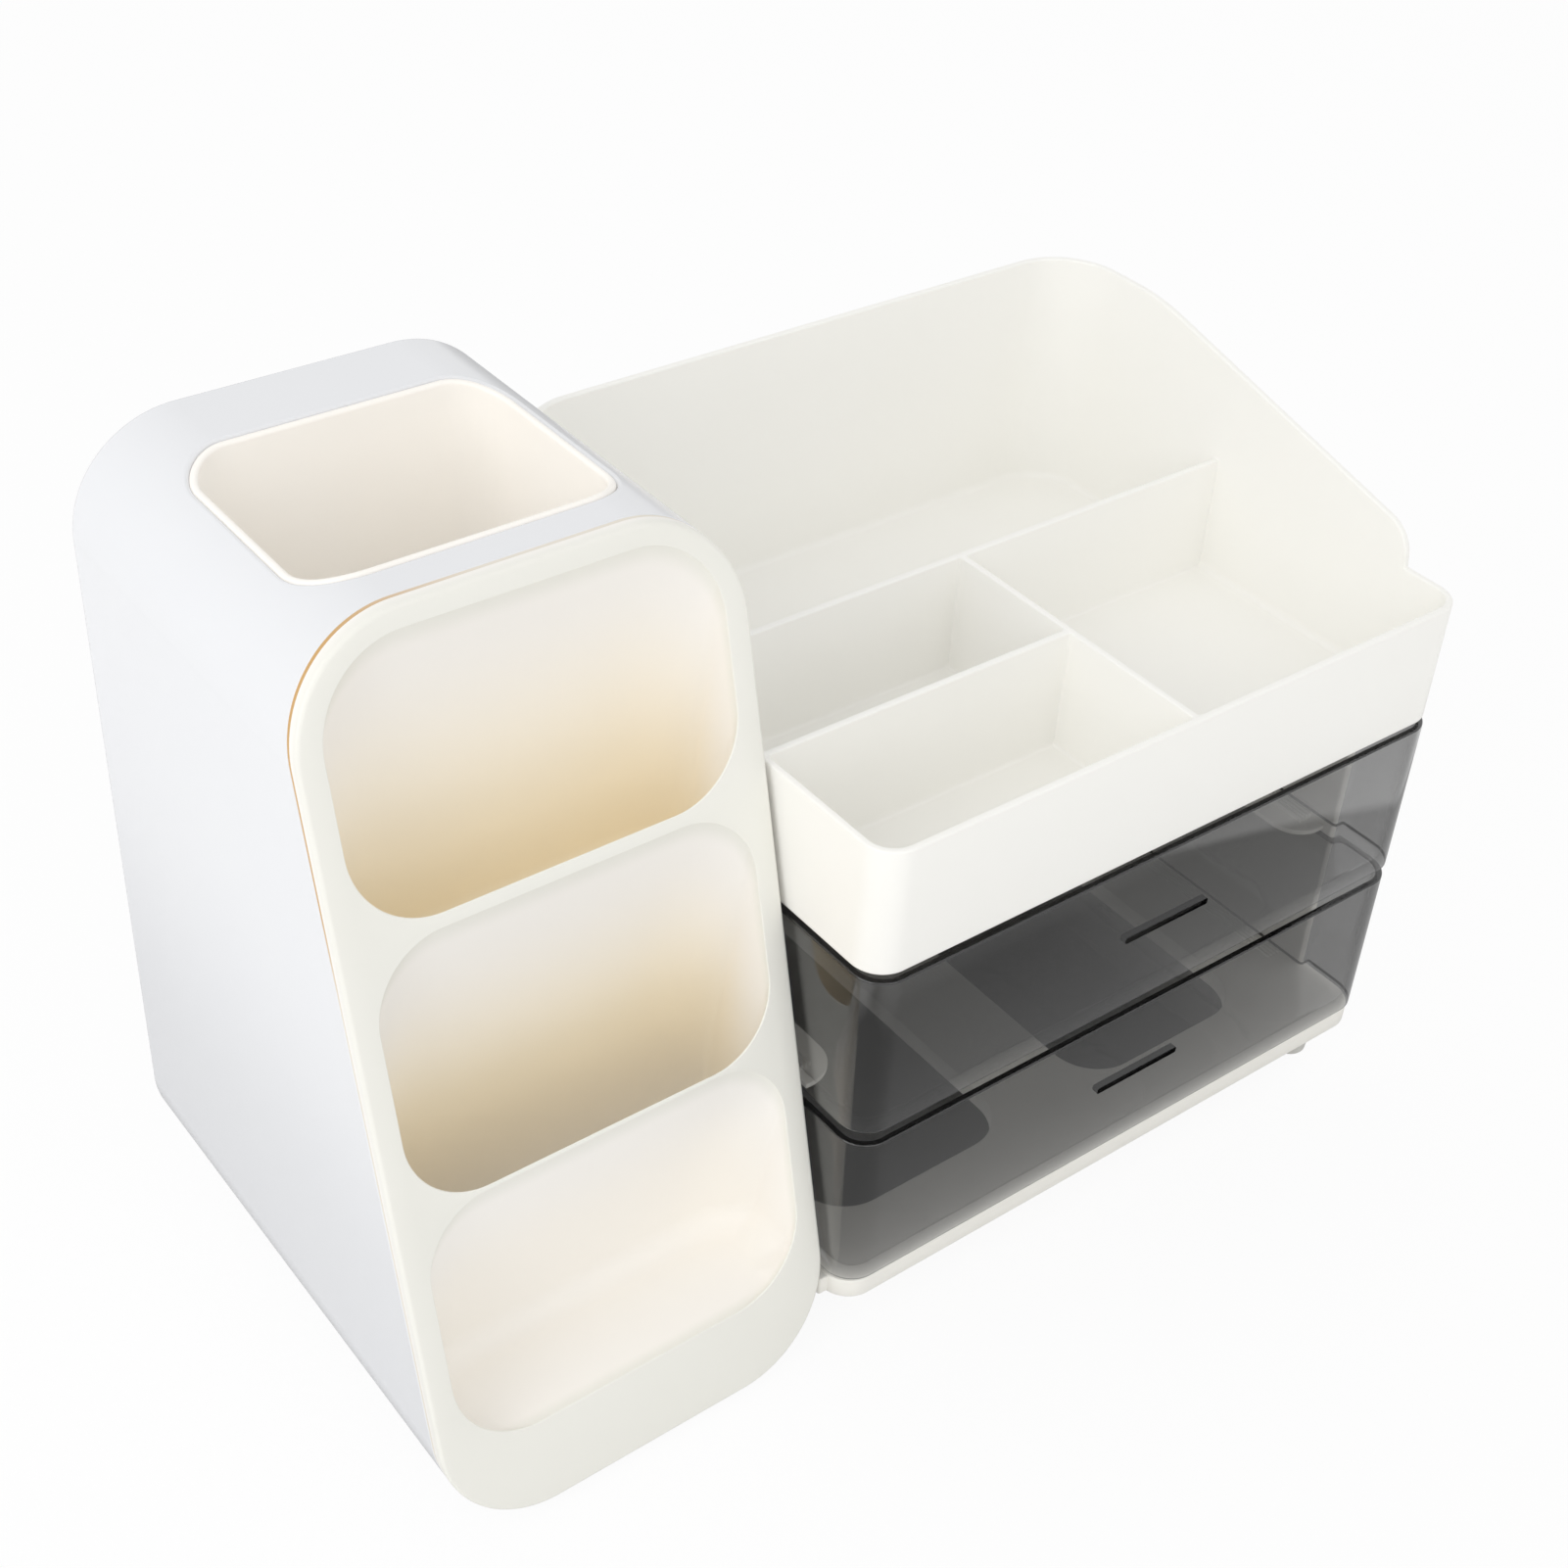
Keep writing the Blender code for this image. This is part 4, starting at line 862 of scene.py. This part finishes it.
def makeSleeve(t, cup):
    points, normals = towerOutline(t)
    front = t["flange"] + t["seam"]
    loops = []
    edge, back = t["sleeveEdge"], t["backEdge"]
    for a in arcSteps(4):
        flat = points + normals * (t["wall"] - edge * (1 - math.cos(a)))
        loops.append(standUp(flat, slantY(flat[:, 1], t) + front + edge * (1 - math.sin(a))))
    for a in arcSteps(4):
        flat = points + normals * edge * (1 - math.sin(a))
        loops.append(standUp(flat, slantY(flat[:, 1], t) + front + edge * (1 - math.cos(a))))
    for a in arcSteps(6):
        flat = points + normals * back * (1 - math.cos(a))
        loops.append(standUp(flat, t["back"] - back * (1 - math.sin(a))))
    rows, columns = len(loops), len(points)
    allPoints = np.concatenate(loops + [standUp(points + normals * t["wall"], t["back"] - t["wall"])])
    faces = gridFaces(rows, columns)
    faces.append([(rows - 1) * columns + i for i in range(columns)])
    last = rows * columns
    faces += [[(i + 1) % columns, i, last + i, last + (i + 1) % columns] for i in range(columns)]
    faces.append([last + i for i in range(columns)][::-1])
    sleeve = addMesh("tower_sleeve_moulding", allPoints, faces, sleeveWhite, weld=0.0005)
    bead = cup["bead"]
    plan = box(cup["right"] - cup["left"], cup["back"] - cup["front"], cup["radius"],
               (cup["left"], cup["front"]))
    hole, holeNormals = roundedPath(plan, 16, {i: np.linspace(0.04, 0.96, 24) for i in range(4)})
    grown = hole - holeNormals * bead
    loops = [lift(grown, 180.0), lift(grown, 240.0)]
    joinOrCut(sleeve, stackLoops("mouth", loops, sleeveWhite), 'DIFFERENCE')
    for low, high in casingValues["lugs"]:
        slack = t["slotSlack"]
        slot = slab("slot", box(20, high - low + 2 * slack, 0.3, (-18.0, low - slack)),
                    casingValues["baseLow"] + 0.2, casingValues["baseHigh"] - 0.2, 0.2,
                    sleeveWhite, 3, 1)
        joinOrCut(sleeve, slot, 'DIFFERENCE')
    smoothOutline(sleeve, t)
    slope = np.clip(np.maximum(t["left"] + t["radius"] - grown[:, 0],
                               grown[:, 0] - (t["right"] - t["radius"])), 0, None) / t["radius"]
    path = lift(grown, topZ(grown[:, 0], t) - bead * np.sqrt(1 - slope ** 2))
    side = np.sign(grown[:, 0] - (t["left"] + t["right"]) / 2)
    path[:, 0] -= side * bead * slope
    rim = tube("tower_mouth_rim", path, bead, sleeveWhite, 16)
    return [sleeve, rim]


def smoothOutline(piece, t):
    # The cut leaves long flat strips, so the outer skin's normals are set from the outline.
    mesh = piece.data
    count = len(mesh.loops)
    vertex = np.empty(count, dtype=int)
    mesh.loops.foreach_get("vertex_index", vertex)
    place3 = (readVectors(mesh.vertices, "co") - layoutShift) / mm
    corner = readVectors(mesh.corner_normals, "vector")
    faceOf = np.repeat(np.arange(len(mesh.polygons)),
                       [len(p.vertices) for p in mesh.polygons])
    faceNormal = readVectors(mesh.polygons, "normal")[faceOf]
    where = place3[vertex]
    inner = np.column_stack([np.clip(where[:, 0], t["left"] + t["radius"], t["right"] - t["radius"]),
                             np.clip(where[:, 2], t["bottom"] + t["radius"], t["top"] - t["radius"])])
    out = where[:, [0, 2]] - inner
    reach = np.linalg.norm(out, axis=1)
    skin = (np.abs(reach - t["radius"]) < 0.02) & (np.abs(faceNormal[:, 1]) < 0.05)
    ideal = np.column_stack([out[:, 0], np.zeros(count), out[:, 1]])
    ideal /= np.maximum(reach, 1e-9)[:, None]
    facing = (ideal * faceNormal).sum(1) > 0.9
    use = skin & facing
    corner[use] = ideal[use]
    mesh.normals_split_custom_set(corner.tolist())


def pocketLoops(p, t):
    # The opening's outline, its small lip, then the same outline carried down and slightly back
    # to a level floor, which it meets in a fillet no taller than the wall there.
    corners = [(p["left"], p["bottom"], p["bottomRadius"]), (p["right"], p["bottom"], p["bottomRadius"]),
               (p["right"], p["top"], p["topRadius"]), (p["left"], p["top"], p["topRadius"])]
    flat, inward = roundedPath(corners, 20, {i: np.linspace(0.1, 0.9, 9) for i in range(4)})
    base = standUp(flat, slantY(flat[:, 1], t))
    side = standUp(inward, 0.0)
    side[:, 1] = side[:, 2] * t["setback"] / (t["top"] - t["bottom"])
    lip = t["lip"]
    loops = [base - side * lip * (1 - math.sin(a)) + np.array([0.0, lip, 0.0]) * (1 - math.cos(a))
             for a in arcSteps(4)]
    start = loops[-1]
    run = start[:, 2] - p["floor"]
    fillet = np.minimum(p["fillet"], run * 0.98)

    def carried(height):
        drop = np.clip(start[:, 2] - height, 0, None)
        back = p["easing"] * (1 - np.exp(-drop * p["slope"] / p["easing"]))
        return np.column_stack([start[:, 0], start[:, 1] + back, height])

    for share in np.linspace(0, 1, 13)[1:-1]:
        loops.append(carried(start[:, 2] - (run - fillet) * share))
    for a in arcSteps(9):
        loop = carried(p["floor"] + fillet * (1 - math.sin(a)))
        middle = (loop.min(0) + loop.max(0)) / 2
        half = (loop.max(0) - loop.min(0)) / 2
        shrink = 1 - (fillet * (1 - math.cos(a)))[:, None] / half[None, :2]
        loop[:, :2] = middle[:2] + (loop[:, :2] - middle[:2]) * shrink
        loops.append(loop)
    return loops


def makeInsert(t, pockets):
    # The skin: the flange's side, its rounded front edge, the flat front and the pockets.
    points, normals = towerOutline(t)
    shape = bmesh.new()

    def addLoops(loops):
        rows, columns = len(loops), len(loops[0])
        verts = [shape.verts.new(p) for p in toFrame(np.concatenate(loops))]
        for f in gridFaces(rows, columns):
            shape.faces.new([verts[i] for i in f])
        return verts, columns

    loops = [standUp(points, slantY(points[:, 1], t) + t["flange"])]
    edge = t["flangeEdge"]
    for a in arcSteps(6):
        flat = points + normals * edge * (1 - math.cos(a))
        loops.append(standUp(flat, slantY(flat[:, 1], t) + edge * (1 - math.sin(a))))
    verts, columns = addLoops(loops)
    rim = verts[-columns:]
    border = [shape.edges.get((rim[i], rim[(i + 1) % columns])) for i in range(columns)]
    for values in pockets.values():
        verts, columns = addLoops(pocketLoops(values, t))
        shape.faces.new(verts[-columns:])
        rim = verts[:columns]
        border += [shape.edges.get((rim[i], rim[(i + 1) % columns])) for i in range(columns)]
    bmesh.ops.triangle_fill(shape, use_beauty=True, edges=border)
    bmesh.ops.recalc_face_normals(shape, faces=shape.faces)
    mesh = bpy.data.meshes.new("tower_front_insert_moulding")
    shape.to_mesh(mesh)
    shape.free()
    mesh.materials.append(insertWhite)
    mesh.shade_smooth()
    mesh.set_sharp_from_angle(angle=math.radians(22))
    insert = bpy.data.objects.new(mesh.name, mesh)
    pieceCollection.objects.link(insert)
    return insert


def makeCollar(t):
    # The insert's collar, seen as a thin warm line of painted shade in the seam before the sleeve.
    points, normals = towerOutline(t)
    flat = points + normals * t["collarInset"]
    inner = points + normals * t["wall"]
    front = slantY(flat[:, 1], t) + t["flange"]
    innerFront = slantY(inner[:, 1], t) + t["flange"]
    loops = [standUp(inner, innerFront - 0.5), standUp(flat, front - 0.5),
             standUp(flat, front + t["seam"] + 0.4), standUp(inner, innerFront + t["seam"] + 0.4)]
    return stackLoops("tower_collar_moulding", loops, seamPaintedShade, False, False)


def makeCup(t, c):
    plan = box(c["right"] - c["left"] - 2 * c["gap"], c["back"] - c["front"] - 2 * c["gap"],
               c["radius"] - c["gap"], (c["left"] + c["gap"], c["front"] + c["gap"]))
    points, normals = roundedPath(plan, 16, {i: np.linspace(0.04, 0.96, 24) for i in range(4)})
    crest = topZ(points[:, 0], t) - c["sink"]
    loops = []
    quarter = arcSteps(5)
    rim, fillet = c["rim"], c["fillet"]
    for a in quarter:
        loops.append(lift(points + normals * c["footRound"] * (1 - math.sin(a)),
                          c["bottom"] + c["footRound"] * (1 - math.cos(a))))
    for a in quarter:
        loops.append(lift(points + normals * rim * (1 - math.cos(a)), crest - rim * (1 - math.sin(a))))
    for a in quarter:
        loops.append(lift(points + normals * (c["wall"] - rim * (1 - math.sin(a))),
                          crest - rim * (1 - math.cos(a))))
    for a in arcSteps(8):
        loops.append(lift(points + normals * (c["wall"] + fillet * (1 - math.cos(a))),
                          c["floor"] + fillet * (1 - math.sin(a))))
    return stackLoops("tower_rear_cup_moulding", loops, cupWhite)


for piece in makeSleeve(towerValues, cupValues):
    place(piece, "casing", "cool_white", "tower_sleeve")
insert = makeInsert(towerValues, pocketValues)
place(insert, "casing", "warm_white", "tower_front_insert")
place(makeCollar(towerValues), "casing", "warm_white", "tower_front_insert")
place(makeCup(towerValues, cupValues), "casing", "ivory", "tower_rear_cup")
print("tower made")


# Floor, backdrop and light

stageValues = {
    "size": 8.0,
    "floorColour": "#F4F4F4",    # what lights the object from below
    "tableColour": "#A9A9A9",    # what shows through the smoke and in reflections
    "tableFront": -0.26,         # beyond this the studio is white again
    "tableRight": 0.395,         # its right edge slants: x - slant * y stays below this
    "tableSlant": 0.815,
    "tableLeft": -0.205,
    "tableGloss": 0.42,
    "horizon": 0.77,
    "zenith": 0.78,
    "cameraWhite": 0.92,
    "softboxes": {"front softbox": (2.8, 1.2, (-0.2, -1.3, 1.0)),
                  "left softbox": (7.0, 1.2, (-1.4, -0.25, 0.9))},
}


def makeFloorMaterial(v):
    # White to the camera, with the soft shadow kept; a grey table to what looks through the
    # smoke; in reflections a table with bright studio beyond its front and left edges.
    material = newMaterial("white sweep")
    ray = addNode(material, 'LightPath')
    plain = addNode(material, 'BsdfDiffuse', {"Color": fromHex(v["floorColour"])})
    table = addNode(material, 'BsdfDiffuse', {"Color": fromHex(v["tableColour"])})
    layers = addNode(material, 'Math', {"operation": 'GREATER_THAN', 1: 0.5},
                     {0: ray.outputs["Transparent Depth"]})
    white = addNode(material, 'Emission', {"Color": (1, 1, 1, 1), "Strength": 1.0})
    share = addNode(material, 'Math', {"operation": 'MULTIPLY', 1: v["cameraWhite"]},
                    {0: ray.outputs["Is Camera Ray"]})
    seen = addNode(material, 'MixShader', None, {0: share, 1: plain, 2: white})
    where = addNode(material, 'TexCoord')
    place3 = addNode(material, 'SeparateXYZ', None, {0: where.outputs["Object"]})
    ahead = addNode(material, 'MapRange',
                    {"From Min": v["tableFront"] - 0.05, "From Max": v["tableFront"] + 0.05},
                    {"Value": place3.outputs[1]})
    beside = addNode(material, 'MapRange',
                     {"From Min": v["tableLeft"] - 0.02, "From Max": v["tableLeft"] + 0.02},
                     {"Value": place3})
    slanted = addNode(material, 'Math', {"operation": 'MULTIPLY_ADD', 1: -v["tableSlant"]},
                      {0: place3.outputs[1], 2: place3})
    within = addNode(material, 'MapRange',
                     {"From Min": v["tableRight"] + 0.008, "From Max": v["tableRight"] - 0.008},
                     {"Value": slanted})
    both = addNode(material, 'Math', {"operation": 'MULTIPLY'}, {0: ahead, 1: beside})
    onTable = addNode(material, 'Math', {"operation": 'MULTIPLY'}, {0: both, 1: within})
    level = addNode(material, 'MapRange', {"To Min": 1.0, "To Max": v["tableGloss"]},
                    {"Value": onTable})
    mirrored = addNode(material, 'Emission', {"Color": (1, 1, 1, 1)}, {"Strength": level})
    beyond = addNode(material, 'MixShader', None, {0: layers, 1: seen, 2: table})
    whole = addNode(material, 'MixShader', None,
                    {0: ray.outputs["Is Glossy Ray"], 1: beyond, 2: mirrored})
    addNode(material, 'OutputMaterial', None, {"Surface": whole})
    return material


def makeWorld(v):
    # A soft studio: brighter round the horizon than overhead, and white where it is seen.
    world = bpy.data.worlds.new("soft studio")
    bpy.context.scene.world = world
    world.use_nodes = True
    world.node_tree.nodes.clear()
    ray = addNode(world, 'LightPath')
    seen = addNode(world, 'Math', {"operation": 'MAXIMUM'},
                   {0: ray.outputs["Is Camera Ray"], 1: ray.outputs["Is Glossy Ray"]})
    seen = addNode(world, 'Math', {"operation": 'MAXIMUM'},
                   {0: seen, 1: ray.outputs["Is Transmission Ray"]})
    where = addNode(world, 'TexCoord')
    way = addNode(world, 'SeparateXYZ', None, {0: where.outputs["Generated"]})
    level = addNode(world, 'MapRange', {"To Min": v["horizon"], "To Max": v["zenith"]},
                    {"Value": way.outputs[2]})
    soft = addNode(world, 'Background', {"Color": (1, 1, 1, 1)}, {"Strength": level})
    bright = addNode(world, 'Background', {"Color": (1, 1, 1, 1), "Strength": 1.0})
    mix = addNode(world, 'MixShader', None, {0: seen, 1: soft, 2: bright})
    addNode(world, 'OutputWorld', None, {"Surface": mix})


def makeStage(v):
    half = v["size"] / 2
    mesh = bpy.data.meshes.new("floor")
    mesh.from_pydata([(-half, -half, 0), (half, -half, 0), (half, half, 0), (-half, half, 0)], [],
                     [(0, 1, 2, 3)])
    floor = bpy.data.objects.new("floor", mesh)
    bpy.context.scene.collection.objects.link(floor)
    mesh.materials.append(makeFloorMaterial(v))
    makeWorld(v)
    for name, (power, size, place3) in v["softboxes"].items():
        data = bpy.data.lights.new(name, 'AREA')
        data.shape = 'SQUARE'
        data.size = size
        data.energy = power
        lamp = bpy.data.objects.new(name, data)
        lamp.location = place3
        aim = -lamp.location
        lamp.rotation_euler = aim.to_track_quat('-Z', 'Y').to_euler()
        bpy.context.scene.collection.objects.link(lamp)


makeStage(stageValues)
bpy.context.scene.view_settings.view_transform = 'Standard'
print("stage made")

bpy.context.view_layer.update()
